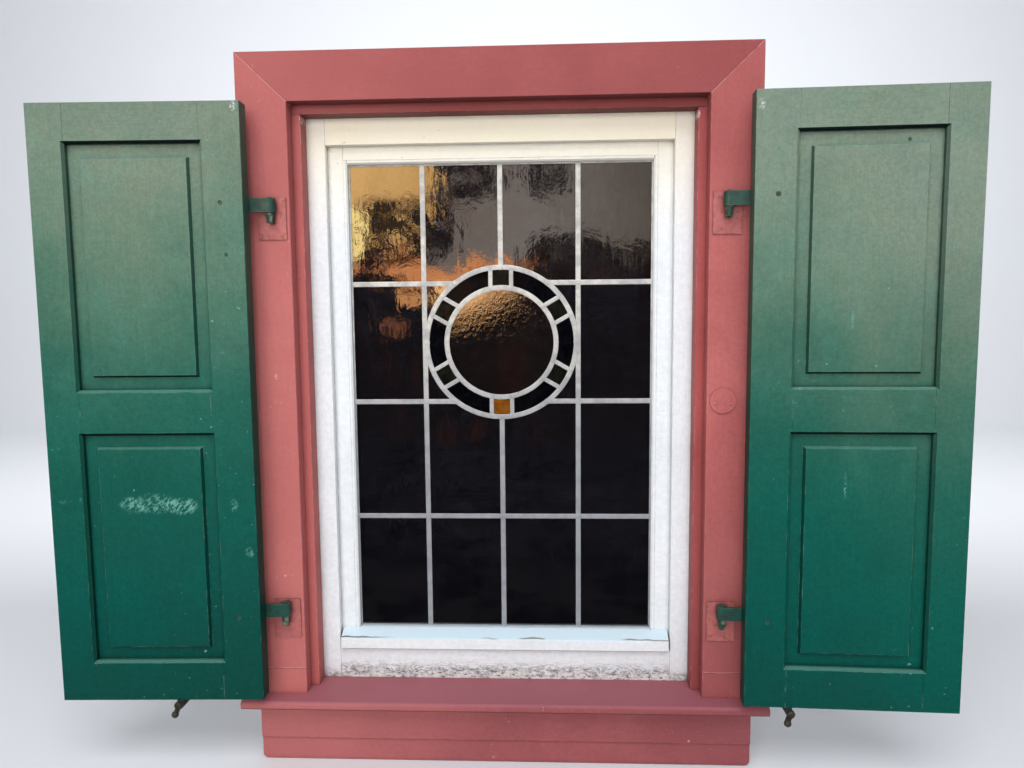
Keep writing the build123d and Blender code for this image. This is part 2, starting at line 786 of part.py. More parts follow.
def shutter_members():
    """Stiles and rails of the right shutter."""
    cutters = []
    for opening in panel_openings().values():
        cutters += panel_cutters(opening)
    inner_hinge = HINGE_EDGE + HINGE_STILE_W + MOULDING
    inner_meeting = MEETING_EDGE - MEETING_STILE_W - MOULDING
    hinge = block(HINGE_EDGE, inner_hinge, SHUTTER_FACE, SHUTTER_BACK, SHUTTER_BOTTOM, SHUTTER_TOP)
    hinge = fillet(hinge.edges().filter_by(Axis.Z).group_by(Axis.X)[0], SHUTTER_EASE)
    meeting = block(inner_meeting, MEETING_EDGE, SHUTTER_FACE, SHUTTER_BACK, SHUTTER_BOTTOM, SHUTTER_TOP)
    meeting = fillet(meeting.edges().filter_by(Axis.Z).group_by(Axis.X)[-1], SHUTTER_EASE)
    members = {
        "hinge_stile": hinge - cutters - bolt_bores(),
        "meeting_stile": meeting - cutters,
    }
    widened = {"bottom": (0, MOULDING), "middle": (-MOULDING, MOULDING), "top": (-MOULDING, 0)}
    for name, (low, high) in shutter_rails().items():
        z0 = low + widened[name][0]
        z1 = high + widened[name][1]
        rail = block(inner_hinge, inner_meeting, SHUTTER_FACE, SHUTTER_BACK, z0, z1)
        members[name + "_rail"] = rail - cutters
    return members


def shutter_panel(opening):
    """Panel with a tongue all round and a raised field with steep edges on both faces."""
    sight = inset(opening, MOULDING)
    foot = inset(sight, FIELD_INSET)
    field = inset(foot, FIELD_BEVEL)
    x0, x1, z0, z1 = inset(sight, -TONGUE_L)
    half = TONGUE_T / 2
    panel = block(x0, x1, SHUTTER_MID - half, SHUTTER_MID + half, z0, z1)
    rise = SHUTTER_T / 2 - FIELD_RECESS
    for side in (-1, 1):
        panel += frustum(foot, SHUTTER_MID + side * half, field, SHUTTER_MID + side * rise)
    return panel


def strap(z):
    """Strap with its eye round the pintle, bored for one bolt."""
    low = z - STRAP_H / 2
    high = z + STRAP_H / 2
    plate = block(PIVOT_X, HINGE_EDGE + STRAP_REACH, SHUTTER_BACK, SHUTTER_BACK + STRAP_T, low, high)
    end = plate.faces().sort_by(Axis.X)[-1].edges().filter_by(Axis.Y)
    plate = fillet(end, STRAP_END_R)
    body = plate + post(PIVOT_X, PIVOT_Y, low, high, EYE_R)
    body -= post(PIVOT_X, PIVOT_Y, low - OVERCUT, high + OVERCUT, PIN_R + PIN_PLAY)
    outside = SHUTTER_BACK + STRAP_T
    x = HINGE_EDGE + BOLT_INSET
    return body - disc(x, z, SHUTTER_BACK - OVERCUT, outside + OVERCUT, BOLT_R + BOLT_PLAY)


def strap_bolt(z):
    """Bolt with a round head on the strap; its end stops just below the shutter's face."""
    x = HINGE_EDGE + BOLT_INSET
    outside = SHUTTER_BACK + STRAP_T
    shank = disc(x, z, SHUTTER_FACE + BOLT_END_RECESS, outside, BOLT_R)
    head = disc(x, z, outside, outside + BOLT_HEAD_T, BOLT_HEAD_R)
    head = chamfer(head.faces().sort_by(Axis.Y)[-1].edges(), BOLT_HEAD_CHAMFER)
    return shank + head


def pintle(z):
    """Plate on the casing with the web, shoulder and pin that carry one strap."""
    seat = z - STRAP_H / 2 - SEAT_GAP
    low = seat - SHOULDER_L
    half = PINTLE_PLATE_W / 2
    plate_face = CASING_FACE - PINTLE_PLATE_T
    x0 = PIVOT_X - half
    x1 = PIVOT_X + half
    plate = block(x0, x1, plate_face, CASING_FACE, z - PINTLE_PLATE_DOWN, z + PINTLE_PLATE_UP)
    web = block(PIVOT_X - PINTLE_WEB_T / 2, PIVOT_X + PINTLE_WEB_T / 2, PIVOT_Y, CASING_FACE, low, seat)
    middle = (low + seat) / 2
    shoulder = Pos(PIVOT_X, PIVOT_Y, middle) * Cone(SHOULDER_FOOT_R, SHOULDER_R, SHOULDER_L)
    pin = post(PIVOT_X, PIVOT_Y, seat, z + STRAP_H / 2 + PIN_RISE, PIN_R)
    pin = chamfer(pin.faces().sort_by(Axis.Z)[-1].edges(), PIN_CHAMFER)
    return plate + web + shoulder + pin


def right_shutter():
    """All the nodes of the right shutter, swung flat against the wall."""
    pieces = shutter_members()
    for name, opening in panel_openings().items():
        pieces[name + "_panel"] = shutter_panel(opening)
    pieces["straps"] = Compound(children=[strap(z) for z in STRAP_HEIGHTS])
    pieces["strap_bolts"] = Compound(children=[strap_bolt(z) for z in STRAP_HEIGHTS])
    return pieces


def tilted(shape, angle):
    """The right shutter's piece, swung out from the wall by an angle."""
    return Pos(PIVOT_X, PIVOT_Y, 0) * Rot(0, 0, -angle) * Pos(-PIVOT_X, -PIVOT_Y, 0) * shape


def dog_back():
    """Depth of the fingers' back faces: clear of the shutter face that stands out most."""
    places = []
    for side in ("left", "right"):
        angle = math.radians(REST_TILT[side])
        reach = abs(DOG_X[side]) - PIVOT_X
        places.append(PIVOT_Y + (SHUTTER_FACE - PIVOT_Y) / math.cos(angle) - reach * math.tan(angle))
    return min(places) - DOG_FACE_GAP


def dog_pivot_z():
    return SHUTTER_BOTTOM - STAY_TOP_GAP - STAY_H / 2


def dog_stay(side):
    """Bar let into the wall below a shutter, with the riveted pin that carries the finger."""
    x = DOG_X[side]
    z = dog_pivot_z()
    end = dog_back() + DOG_SIDE_GAP
    finger_front = dog_back() - DOG_T
    bar = block(x - STAY_W / 2, x + STAY_W / 2, end, STAY_TAIL, z - STAY_H / 2, z + STAY_H / 2)
    pin = disc(x, z, finger_front - DOG_SIDE_GAP, end, DOG_PIN_R)
    head = disc(x, z, finger_front - DOG_SIDE_GAP - DOG_HEAD_T, finger_front - DOG_SIDE_GAP, DOG_HEAD_R)
    head = chamfer(head.faces().sort_by(Axis.Y)[0].edges(), DOG_HEAD_CHAMFER)
    return bar + pin + head


def dog_finger(side):
    """Finger that hangs from its pin at rest and is turned up in front of the shutter to hold it."""
    x = DOG_X[side]
    z = dog_pivot_z()
    back = dog_back()
    front = back - DOG_T
    eye = disc(0, 0, front, back, DOG_EYE_R)
    arm = block(-DOG_ARM_W / 2, DOG_ARM_W / 2, front, back, -DOG_ARM, 0)
    knob = Pos(0, back - DOG_KNOB_R, -DOG_ARM) * Sphere(DOG_KNOB_R)
    body = eye + arm + knob
    body -= disc(0, 0, front - OVERCUT, back + OVERCUT, DOG_PIN_R + DOG_PIN_PLAY)
    return Pos(x, 0, z) * Rot(0, DOG_LEAN, 0) * body


def hinge_leaf(z, side):
    """Flat leaf with its half of the knuckle; side -1 is on the frame, +1 on the sash."""
    low = z - HINGE_H / 2
    high = z + HINGE_H / 2
    half_low, half_high = (low, z - HINGE_CLEAR / 2) if side < 0 else (z + HINGE_CLEAR / 2, high)
    start = KNUCKLE_R + HINGE_CLEAR
    near, far = sorted((side * start, side * (start + HINGE_LEAF_W)))
    x = HINGE_AXIS_X
    leaf = block(x + near, x + far, FRAME_BACK, FRAME_BACK + HINGE_LEAF_T, low, high)
    inner, outer = sorted((0, side * start))
    leaf += block(x + inner, x + outer, FRAME_BACK, FRAME_BACK + HINGE_LEAF_T, half_low, half_high)
    leaf += post(x, HINGE_AXIS_Y, half_low, half_high, KNUCKLE_R)
    if side < 0:
        return leaf + post(x, HINGE_AXIS_Y, half_high, high - HINGE_CLEAR, HINGE_PIN_R)
    return leaf - post(x, HINGE_AXIS_Y, low, high + OVERCUT, HINGE_PIN_R + HINGE_PLAY)


def hinge_leaves(side):
    return Compound(children=[hinge_leaf(z, side) for z in HINGE_HEIGHTS])


def rod_channel(z0, z1):
    """Space that a rod needs in a guide."""
    half = ROD_W / 2 + ROD_PLAY
    top = FRAME_BACK + ROD_T + 2 * ROD_PLAY
    return block(ROD_X - half, ROD_X + half, FRAME_BACK - OVERCUT, top, z0 - OVERCUT, z1 + OVERCUT)


def rod_loop(z):
    """Bridge over the rod at one height."""
    low = z - GUIDE_H / 2
    high = z + GUIDE_H / 2
    top = FRAME_BACK + ROD_T + 2 * ROD_PLAY + GUIDE_WALL
    loop = block(ROD_X - GUIDE_W / 2, ROD_X + GUIDE_W / 2, FRAME_BACK, top, low, high)
    loop = chamfer(loop.faces().sort_by(Axis.Y)[-1].edges().filter_by(Axis.Z), GUIDE_WALL)
    return loop - rod_channel(low, high)


def rod_guides():
    """Four bridges on the sash."""
    heights = []
    for inset_from_end in (GUIDE_INSET, GUIDE_INSET + GUIDE_SPACING):
        heights += [SASH_BOTTOM + inset_from_end, SASH_TOP - inset_from_end]
    return Compound(children=[rod_loop(z) for z in heights])


def rod_keeps():
    """Two bridges on the fixed frame that the rods run into."""
    reach = ROD_TRAVEL - ROD_INSET - ROD_GRIP + GUIDE_H / 2
    head = SASH_TOP + reach
    foot = SASH_BOTTOM - reach
    return Compound(children=[rod_loop(z) for z in (foot, head)])


def rod(z0, z1):
    front = FRAME_BACK + ROD_PLAY
    return block(ROD_X - ROD_W / 2, ROD_X + ROD_W / 2, front, front + ROD_T, z0, z1)


def upper_rod():
    return rod(BOLT_Z + ROD_START, SASH_TOP - ROD_INSET)


def lower_rod():
    return rod(SASH_BOTTOM + ROD_INSET, BOLT_Z - ROD_START)


def espagnolette_case():
    """Case over the rods' ends, bored for the handle's neck."""
    low = BOLT_Z - CASE_H / 2
    high = BOLT_Z + CASE_H / 2
    case = block(ROD_X - CASE_W / 2, ROD_X + CASE_W / 2, FRAME_BACK, CASE_FACE, low, high)
    case = fillet(case.faces().sort_by(Axis.Y)[-1].edges(), CASE_EASE)
    bore = disc(ROD_X, BOLT_Z, CASE_FACE - NECK_BED, CASE_FACE + OVERCUT, NECK_R + NECK_PLAY)
    return case - rod_channel(low, high) - bore


def handle():
    """Olive-shaped turning handle on a round neck."""
    centre = CASE_FACE + HANDLE_GAP + OLIVE_R
    half = OLIVE_L / 2
    top = Line((-half, 0), (-half, OLIVE_END_R))
    crown = ThreePointArc((-half, OLIVE_END_R), (0, OLIVE_R), (half, OLIVE_END_R))
    outline = top + crown + Line((half, OLIVE_END_R), (half, 0)) + Line((half, 0), (-half, 0))
    olive = revolve(make_face(outline), Axis.X, 360)
    olive = Pos(ROD_X, centre, BOLT_Z) * olive
    neck = disc(ROD_X, BOLT_Z, CASE_FACE - NECK_BED + ROD_PLAY, centre, NECK_R)
    collar = disc(ROD_X, BOLT_Z, CASE_FACE + ROD_PLAY, CASE_FACE + ROD_PLAY + COLLAR_T, COLLAR_R)
    return olive + neck + collar


def surround_nodes():
    """Everything fixed in front of and around the frame."""
    jamb = casing_jamb()
    foot = casing_foot()
    lining = lining_jamb()
    return {
        "casing_head": casing_head(),
        "casing_jamb_left": mirrored(jamb),
        "casing_jamb_right": jamb - cover_screw_holes(),
        "casing_feet": Compound(children=[mirrored(foot), foot]),
        "lining_head": lining_head(),
        "lining_jamb_left": mirrored(lining),
        "lining_jamb_right": lining,
        "sill_board": sill_board(),
        "apron_upper": apron_upper(),
        "apron_lower": apron_lower(),
        "cover_plate": cover_plate(),
        "cover_plate_screws": cover_plate_screws(),
        "pintles": Compound(
            children=[piece for z in STRAP_HEIGHTS for piece in (pintle(z), mirrored(pintle(z)))]
        ),
        "dog_stays": Compound(children=[dog_stay(side) for side in ("left", "right")]),
        "dog_finger_left": dog_finger("left"),
        "dog_finger_right": dog_finger("right"),
    }


def frame_nodes():
    """Fixed frame with its own fittings."""
    jamb = frame_jamb()
    return {
        "frame_head": frame_head(),
        "frame_jamb_left": mirrored(jamb),
        "frame_jamb_right": jamb,
        "frame_bottom_rail": frame_bottom_rail(),
        "hinge_frame_leaves": hinge_leaves(-1),
        "rod_keeps": rod_keeps(),
    }


def sash_nodes():
    """Opening sash with its leaded panel and fittings."""
    stile = sash_stile()
    return {
        "sash_top_rail": sash_top_rail(),
        "sash_bottom_rail": sash_bottom_rail(),
        "sash_stile_left": mirrored(stile),
        "sash_stile_right": stile,
        "weather_bar": weather_bar(),
        "glazing_beads": glazing_beads(),
        "lead_border": lead_border(),
        "lead_bars": lead_bars(),
        "rosette_leads": rosette_leads(),
        "glass_panes": glass_panes(),
        "glass_arcs": glass_arcs(),
        "glass_squares_olive": glass_squares_olive(),
        "glass_square_amber": glass_square_amber(),
        "glass_roundel": glass_roundel(),
        "hinge_sash_leaves": hinge_leaves(1),
        "rod_guides": rod_guides(),
        "espagnolette_case": espagnolette_case(),
        "handle": handle(),
        "upper_rod": upper_rod(),
        "lower_rod": lower_rod(),
    }


def shutter_nodes():
    """Both shutters as they stand open."""
    nodes = {}
    for name, piece in right_shutter().items():
        nodes["right_" + name] = tilted(piece, REST_TILT["right"])
        nodes["left_" + name] = mirrored(tilted(piece, REST_TILT["left"]))
    return nodes


os.makedirs("parts", exist_ok=True)
for nodes in (surround_nodes(), frame_nodes(), sash_nodes(), shutter_nodes()):
    for node_name, node_shape in nodes.items():
        export_step(node_shape, f"parts/{node_name}.step")
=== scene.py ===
import math
import random

import bmesh
import bpy
from mathutils import Matrix, Vector


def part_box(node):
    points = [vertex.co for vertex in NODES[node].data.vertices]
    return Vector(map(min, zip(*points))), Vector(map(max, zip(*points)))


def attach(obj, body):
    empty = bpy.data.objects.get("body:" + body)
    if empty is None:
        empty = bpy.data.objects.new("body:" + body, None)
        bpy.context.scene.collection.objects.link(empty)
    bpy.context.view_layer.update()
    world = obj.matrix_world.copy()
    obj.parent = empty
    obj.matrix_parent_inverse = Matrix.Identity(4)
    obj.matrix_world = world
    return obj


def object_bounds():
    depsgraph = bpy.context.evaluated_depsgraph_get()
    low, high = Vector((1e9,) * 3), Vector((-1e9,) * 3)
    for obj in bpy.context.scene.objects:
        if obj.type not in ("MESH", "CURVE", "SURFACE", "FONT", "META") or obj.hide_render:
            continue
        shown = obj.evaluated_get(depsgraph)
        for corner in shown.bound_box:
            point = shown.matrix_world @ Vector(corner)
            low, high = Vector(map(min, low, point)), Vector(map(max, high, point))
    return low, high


# Looks, small fittings, stage and camera of a casement window with a leaded panel and green shutters
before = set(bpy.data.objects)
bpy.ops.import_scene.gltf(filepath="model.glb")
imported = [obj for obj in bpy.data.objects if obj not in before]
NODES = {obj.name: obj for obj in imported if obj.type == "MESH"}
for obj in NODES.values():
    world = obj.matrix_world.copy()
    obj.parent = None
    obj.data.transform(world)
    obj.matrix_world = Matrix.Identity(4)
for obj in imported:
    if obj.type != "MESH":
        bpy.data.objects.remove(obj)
CAD_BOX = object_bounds()

# Camera, in metres and degrees, with the focal length in pixels of a 1024 pixel wide picture
EYE = Vector((0.08594, -1.41895, 0.78867))
YAW = 2.55
PITCH = 5.57
ROLL = -0.52
FOCAL_PIXELS = 762.94
PICTURE_W = 1024
SENSOR_W = 36.0


def tone(red, green, blue):
    """Linear colour of an 8 bit display colour."""
    linear = []
    for value in (red, green, blue):
        share = value / 255
        linear.append(share / 12.92 if share <= 0.04045 else ((share + 0.055) / 1.055) ** 2.4)
    return (*linear, 1.0)


class Recipe:
    """Node tree of one material, built from small steps.

    A paint lays colours over the recipe's colour and reliefs over its skin, and seal() hands both on.
    """

    def __init__(self, name):
        self.colour = None
        self.skin = None
        self.material = bpy.data.materials.new(name)
        self.material.use_nodes = True
        self.tree = self.material.node_tree
        self.shader = self.tree.nodes["Principled BSDF"]
        coordinates = self.node("ShaderNodeTexCoord").outputs
        self.place = coordinates["Object"]
        self.normal = coordinates["Normal"]
        split = self.node("ShaderNodeSeparateXYZ", {0: self.place})
        self.x, self.y, self.z = split.outputs

    def node(self, kind, values=None, **settings):
        """New node with its settings, and its inputs fed with values or sockets."""
        made = self.tree.nodes.new(kind)
        for name, value in settings.items():
            setattr(made, name, value)
        for key, value in (values or {}).items():
            self.feed(made.inputs[key], value)
        return made

    def feed(self, socket, value):
        if isinstance(value, bpy.types.NodeSocket):
            self.tree.links.new(value, socket)
        else:
            socket.default_value = value

    def set(self, **values):
        """Values or sockets for the shader, with underscores for spaces."""
        for name, value in values.items():
            self.feed(self.shader.inputs[name.replace("_", " ")], value)

    def stretched(self, scale):
        """Places for a noise, scaled by axis."""
        return self.node("ShaderNodeMapping", {"Vector": self.place, "Scale": scale}).outputs[0]

    def noise(self, scale, detail=3.0, rough=0.55, vector=None, distortion=0.0):
        """Cloudy pattern about 0.5, with a scale in features per metre."""
        values = {
            "Vector": vector or self.place,
            "Scale": scale,
            "Detail": detail,
            "Roughness": rough,
            "Distortion": distortion,
        }
        return self.node("ShaderNodeTexNoise", values).outputs[0]

    def span(self, value, low, high, to_low=0.0, to_high=1.0, curve="SMOOTHSTEP"):
        """value between low and high, drawn onto to_low and to_high."""
        values = {"Value": value, "From Min": low, "From Max": high, "To Min": to_low, "To Max": to_high}
        return self.node("ShaderNodeMapRange", values, interpolation_type=curve).outputs[0]

    def calc(self, operation, *values):
        return self.node("ShaderNodeMath", dict(enumerate(values)), operation=operation).outputs[0]

    def both(self, *masks):
        """Product of several masks."""
        result = masks[0]
        for mask in masks[1:]:
            result = self.calc("MULTIPLY", result, mask)
        return result

    def either(self, *masks):
        """Greatest of several masks."""
        result = masks[0]
        for mask in masks[1:]:
            result = self.calc("MAXIMUM", result, mask)
        return result

    def blend(self, first, second, share, kind="MIX"):
        """Colour that goes from first to second as share goes from 0 to 1."""
        values = {0: share, 6: first, 7: second}
        return self.node("ShaderNodeMix", values, data_type="RGBA", blend_type=kind).outputs[2]

    def cover(self, colour, share):
        """Lay a colour over what is painted so far."""
        self.colour = self.blend(self.colour, colour, share)

    def shade(self, colour, low, high, value):
        """Colour made darker or lighter by a value from 0 to 1."""
        amount = self.span(value, 0.0, 1.0, low, high)
        grey = self.node("ShaderNodeCombineXYZ", {0: amount, 1: amount, 2: amount}).outputs[0]
        return self.blend(colour, grey, 1.0, "MULTIPLY")

    def ramp(self, value, stops):
        """Colour that runs through (place, colour) stops."""
        made = self.node("ShaderNodeValToRGB", {0: value})
        elements = made.color_ramp.elements
        while len(elements) < len(stops):
            elements.new(0.5)
        for element, (place, colour) in zip(elements, stops):
            element.position = place
            element.color = colour
        return made.outputs[0]

    def vector(self, operation, *values, output="Vector"):
        made = self.node("ShaderNodeVectorMath", dict(enumerate(values)), operation=operation)
        return made.outputs[output]

    def edges(self, radius):
        """1 along the outer edges of the solid, 0 on its flats."""
        soft = self.node("ShaderNodeBevel", {"Radius": radius}, samples=2).outputs[0]
        flat = self.node("ShaderNodeNewGeometry").outputs["True Normal"]
        alike = self.vector("DOT_PRODUCT", soft, flat, output="Value")
        return self.span(self.calc("SUBTRACT", 1.0, alike), 0.004, 0.09)

    def hollows(self, distance):
        """1 in corners and under neighbours, 0 in the open."""
        made = self.node("ShaderNodeAmbientOcclusion", {"Distance": distance}, samples=3)
        return self.calc("SUBTRACT", 1.0, made.outputs["AO"])

    def spot(self, centre, radii, core):
        """1 in the core of an ellipsoid, as a share of its radii, and 0 outside it."""
        scaled = self.vector("DIVIDE", self.vector("SUBTRACT", self.place, centre), radii)
        return self.span(self.vector("LENGTH", scaled, output="Value"), 1.0, core)

    def facing(self, axis):
        """Share of the surface's normal along X, Y or Z."""
        return self.node("ShaderNodeSeparateXYZ", {0: self.normal}).outputs[axis]

    def bump(self, height, distance, strength, under=None):
        """Normal of a relief whose heights from 0 to 1 span a distance in metres."""
        values = {"Strength": strength, "Distance": distance, "Height": height}
        if under is not None:
            values["Normal"] = under
        return self.node("ShaderNodeBump", values).outputs[0]

    def press(self, height, distance, strength):
        """Lay a relief over the skin so far; it sinks in where the distance is below 0."""
        self.skin = self.bump(height, distance, strength, self.skin)


# Stretch of the brush marks for wood with its grain along x or along z
GRAIN = {"x": (1.0, 30.0, 30.0), "z": (30.0, 30.0, 1.0)}

# Joints of the casing: the mitres' inner corners and run, and the feet's tops
MITRE_X = 0.3775
MITRE_Z = 1.1634
MITRE_SLOPE = 0.09225 / 0.0883
FOOT_JOINT_Z = 0.1055
MITRE_HALF_WIDTH = 0.0009
FOOT_JOINT_HALF_WIDTH = 0.0010
FOOT_JOINT_WANDER = 0.0010

# Bare chips in the lining's top corners, as (x, z), their depth and half sizes
LINING_CHIPS = ((-0.3600, 1.138), (0.3615, 1.134))
LINING_CHIP_Y = 0.008
LINING_CHIP_SIZE = (0.004, 0.03, 0.009)

# Heights between which the white paint flakes, and the cracks along the weather bar's bend
FLAKING_RAIL = (0.100, 0.054)
FLAKING_UPRIGHT = (0.084, 0.050)
BAR_BEND_Z = 0.1438
BAR_CRACK_WANDER = 0.0012
BAR_CRACK_EDGES = (0.0012, 0.0004)

# Heights, and on the right shutter also distances, over which the painted sky sheen pales the green
SHEEN_HEIGHTS = (0.07, 1.15)
SHEEN_REACH = (0.442, 0.816)

# Depths between which the pintles' red plate passes into the green hook
HOOK_EDGE = (-0.0312, -0.0330)

# Reliefs of the paints and metals, in metres
BRUSH_RELIEF = 0.0005
ORANGE_PEEL = 0.00025
CHIP_DEPTH = 0.0005
RED_LUMPS = 0.0011
GREEN_PEBBLES = 0.0010
FLAKE_DEPTH = 0.0018
FLAKE_RELIEF = 0.004
JOINT_RELIEF = 0.0006
CRACK_DEPTH = 0.001
IRON_PITS = 0.0005
LEAD_RELIEF = 0.0008

# How far wear reaches round edges, and dirt and painted shade out of corners
RUBBED_WOOD_EDGE = 0.0016
RUBBED_IRON_EDGE = 0.0018
RUSTY_RIM = 0.0030
CORNER_SHADE_REACH = 0.012
GREEN_CORNER_SHADE_REACH = 0.016

# Marks in the front of the green paint, as (x, z) and half sizes, and the depth where they all lie
SCUFFS = {
    "left": [
        ((-0.667, 0.440), (0.034, 0.022)),
        ((-0.628, 0.443), (0.050, 0.024)),
        ((-0.578, 0.438), (0.038, 0.020)),
        ((-0.790, 0.448), (0.026, 0.012)),
        ((-0.759, 0.452), (0.008, 0.010)),
        ((-0.479, 0.440), (0.009, 0.015)),
        ((-0.456, 0.352), (0.011, 0.013)),
    ],
    "right": [
        ((0.607, 0.480), (0.004, 0.032)),
        ((0.610, 0.766), (0.004, 0.025)),
        ((0.786, 0.420), (0.010, 0.014)),
    ],
}
BARE_CORNERS = {"left": (-0.452, 1.143), "right": (0.450, 1.128)}
BARE_CORNER_SIZE = (0.007, 0.011)
PLUGGED_HOLES = {"left": (-0.474, 0.889), "right": (0.695, 1.066)}
PLUGGED_HOLE_SIZE = (0.0045, 0.0045)
MARK_DEPTH = -0.078
MARK_REACH = 0.022
SCRAPE_SLANT = math.radians(-50)


def brushed(name, grain, light, deep, streak, rough):
    """Brush-painted wood: uneven tone, brush marks along the grain and a skin that follows them."""
    r = Recipe(name)
    clouds = r.span(r.noise(5.0, 4.0), 0.32, 0.70)
    strokes = r.span(r.noise(14.0, 3.0, 0.65, r.stretched(GRAIN[grain])), 0.25, 0.75)
    mottle = r.span(r.noise(110.0, 3.0, 0.75), 0.3, 0.7)
    r.colour = r.shade(r.blend(light, deep, clouds), 1.0 - streak, 1.0 + streak, strokes)
    r.colour = r.shade(r.colour, 1.0 - 2.0 * streak, 1.0 + 1.6 * streak, mottle)
    r.set(Roughness=r.span(clouds, 0.0, 1.0, rough - 0.04, rough + 0.08), Specular_IOR_Level=0.16)
    r.press(strokes, BRUSH_RELIEF, 0.25)
    r.press(r.noise(260.0, 1.0, 0.5), ORANGE_PEEL, 0.45)
    return r


def rub_and_chip(r, worn, amount):
    """Paint rubbed off along edges, and small chips in a few areas."""
    rubbed = r.both(r.edges(RUBBED_WOOD_EDGE), r.span(r.noise(38.0, 3.0, 0.7), 0.48, 0.62), amount)
    areas = r.span(r.noise(4.3, 2.0), 0.52, 0.6)
    chips = r.both(r.span(r.noise(95.0, 3.0, 0.6), 0.70, 0.72), areas, amount)
    r.cover(worn, r.either(rubbed, chips))
    r.press(chips, -CHIP_DEPTH, 0.6)


def corner_dirt_and_shade(r, dirt_and_shade, amount, reach=CORNER_SHADE_REACH):
    """Painted shade with dirt in corners and joints."""
    corners = r.span(r.hollows(reach), 0.25, 0.85)
    r.cover(dirt_and_shade, r.both(corners, r.span(r.noise(24.0, 4.0), 0.2, 0.55, 0.35), amount))


def shade_facing_down(r, dark, amount):
    """Painted shade: darker paint on faces that look down."""
    r.cover(dark, r.both(r.span(r.facing("Z"), -0.2, -0.75), amount))


def painted_sky_light(r, sky_light_colour, amount):
    """Painted sky light: bluish paint on faces that look up."""
    r.cover(sky_light_colour, r.both(r.span(r.facing("Z"), 0.3, 0.85), amount))


def front_marks(r, marks, colour, grain=240.0, cut=0.5, drawn=1.0, least=1.0):
    """Broken marks scraped into the front face, drawn out along a slant where drawn is above 1."""
    values = {"Vector": r.place, "Rotation": (0.0, SCRAPE_SLANT, 0.0), "Scale": (drawn, 1.0, 1.0)}
    slanted = r.node("ShaderNodeMapping", values, vector_type="TEXTURE").outputs[0]
    patchy = r.span(r.noise(52.0, 4.0, 0.7), 0.40, 0.56, least, 1.0)
    broken = r.both(r.span(r.noise(grain, 5.0, 0.75, slanted), cut, cut + 0.05), patchy)
    for (x, z), (half_x, half_z) in marks:
        place = r.spot((x, MARK_DEPTH, z), (half_x, MARK_REACH, half_z), 0.6)
        r.cover(colour, r.both(place, broken, 0.8))


def seal(r):
    """Send the finished colour and skin to the shader."""
    r.set(Base_Color=r.colour, Normal=r.skin)
    return r


def red_paint(grain, shade):
    """Red in one of five tones, lit and shaded copies of one paint; painted light towards the left,
    painted shade towards the top and low on the right.
    """
    # Lit jambs and plate, the head in painted shade, purplish sill and aprons, and the lining in painted
    # shade, darkest on its head, which looks down
    tones = {
        "light": (tone(188, 104, 101), tone(170, 89, 88)),
        "deep": (tone(158, 80, 79), tone(142, 69, 69)),
        "purplish": (tone(162, 89, 92), tone(146, 78, 81)),
        "dark": (tone(172, 84, 82), tone(154, 71, 69)),
        "shaded_underside": (tone(138, 62, 57), tone(120, 52, 47)),
    }
    r = brushed("red_paint_" + shade + "_" + grain, grain, *tones[shade], 0.03, 0.50)
    # Painted light towards the left, painted shade towards the top and low on the right
    r.cover(tone(200, 118, 114), r.span(r.x, 0.1, -0.5, 0.0, 0.45))
    r.cover(tone(150, 74, 74), r.span(r.z, 0.80, 1.18, 0.0, 0.40))
    shade_low_right = r.both(r.span(r.x, 0.25, 0.42), r.span(r.z, 0.60, 0.15), 0.5)
    r.cover(tone(126, 66, 70), shade_low_right)
    r.press(r.noise(95.0, 3.0, 0.6), RED_LUMPS, 0.5)
    rub_and_chip(r, tone(214, 172, 166), 0.55)
    # Painted shade with dirt in corners, painted shade on faces that look down, painted sky light on faces
    # that look up
    corner_dirt_and_shade(r, tone(84, 40, 40), 0.8)
    shade_facing_down(r, tone(98, 44, 41), 0.85)
    painted_sky_light(r, tone(162, 98, 110), 0.75)
    return seal(r)


def joint_line(r, distance, half_width, strength):
    """Fine light line along a joint, a painted highlight on its edge, with a darker line beside it."""

    def line(offset):
        return r.span(r.calc("ABSOLUTE", offset), half_width, half_width * 0.3)

    broken = r.both(r.span(r.noise(45.0, 4.0, 0.7), 0.36, 0.52), strength)
    light = r.both(line(distance), broken)
    r.cover(tone(92, 46, 46), r.both(line(r.calc("ADD", distance, half_width * 1.5)), 0.6))
    r.cover(tone(218, 172, 166), light)
    r.press(light, JOINT_RELIEF, 0.7)


def casing_paint(grain, shade):
    """Red of the casing, with its mitre and foot joints showing through."""
    r = red_paint(grain, shade)
    r.material.name = "red_casing_" + grain
    past_corner = r.calc("SUBTRACT", r.calc("ABSOLUTE", r.x), MITRE_X)
    rise = r.calc("MULTIPLY", r.calc("SUBTRACT", r.z, MITRE_Z), MITRE_SLOPE)
    joint_line(r, r.calc("SUBTRACT", past_corner, rise), MITRE_HALF_WIDTH, 0.8)
    wander = r.span(r.noise(28.0, 3.0), 0.2, 0.8, -FOOT_JOINT_WANDER, FOOT_JOINT_WANDER)
    past_foot = r.calc("SUBTRACT", r.calc("ADD", r.z, wander), FOOT_JOINT_Z)
    joint_line(r, past_foot, FOOT_JOINT_HALF_WIDTH, 0.4)
    return seal(r)


def chip_lining(r):
    """Bare chips at the lining's top corners."""
    broken = r.span(r.noise(120.0, 4.0, 0.7), 0.45, 0.5)
    for x, z in LINING_CHIPS:
        place = r.spot((x, LINING_CHIP_Y, z), LINING_CHIP_SIZE, 0.45)
        r.cover(tone(214, 186, 180), r.both(place, broken))
    return seal(r)


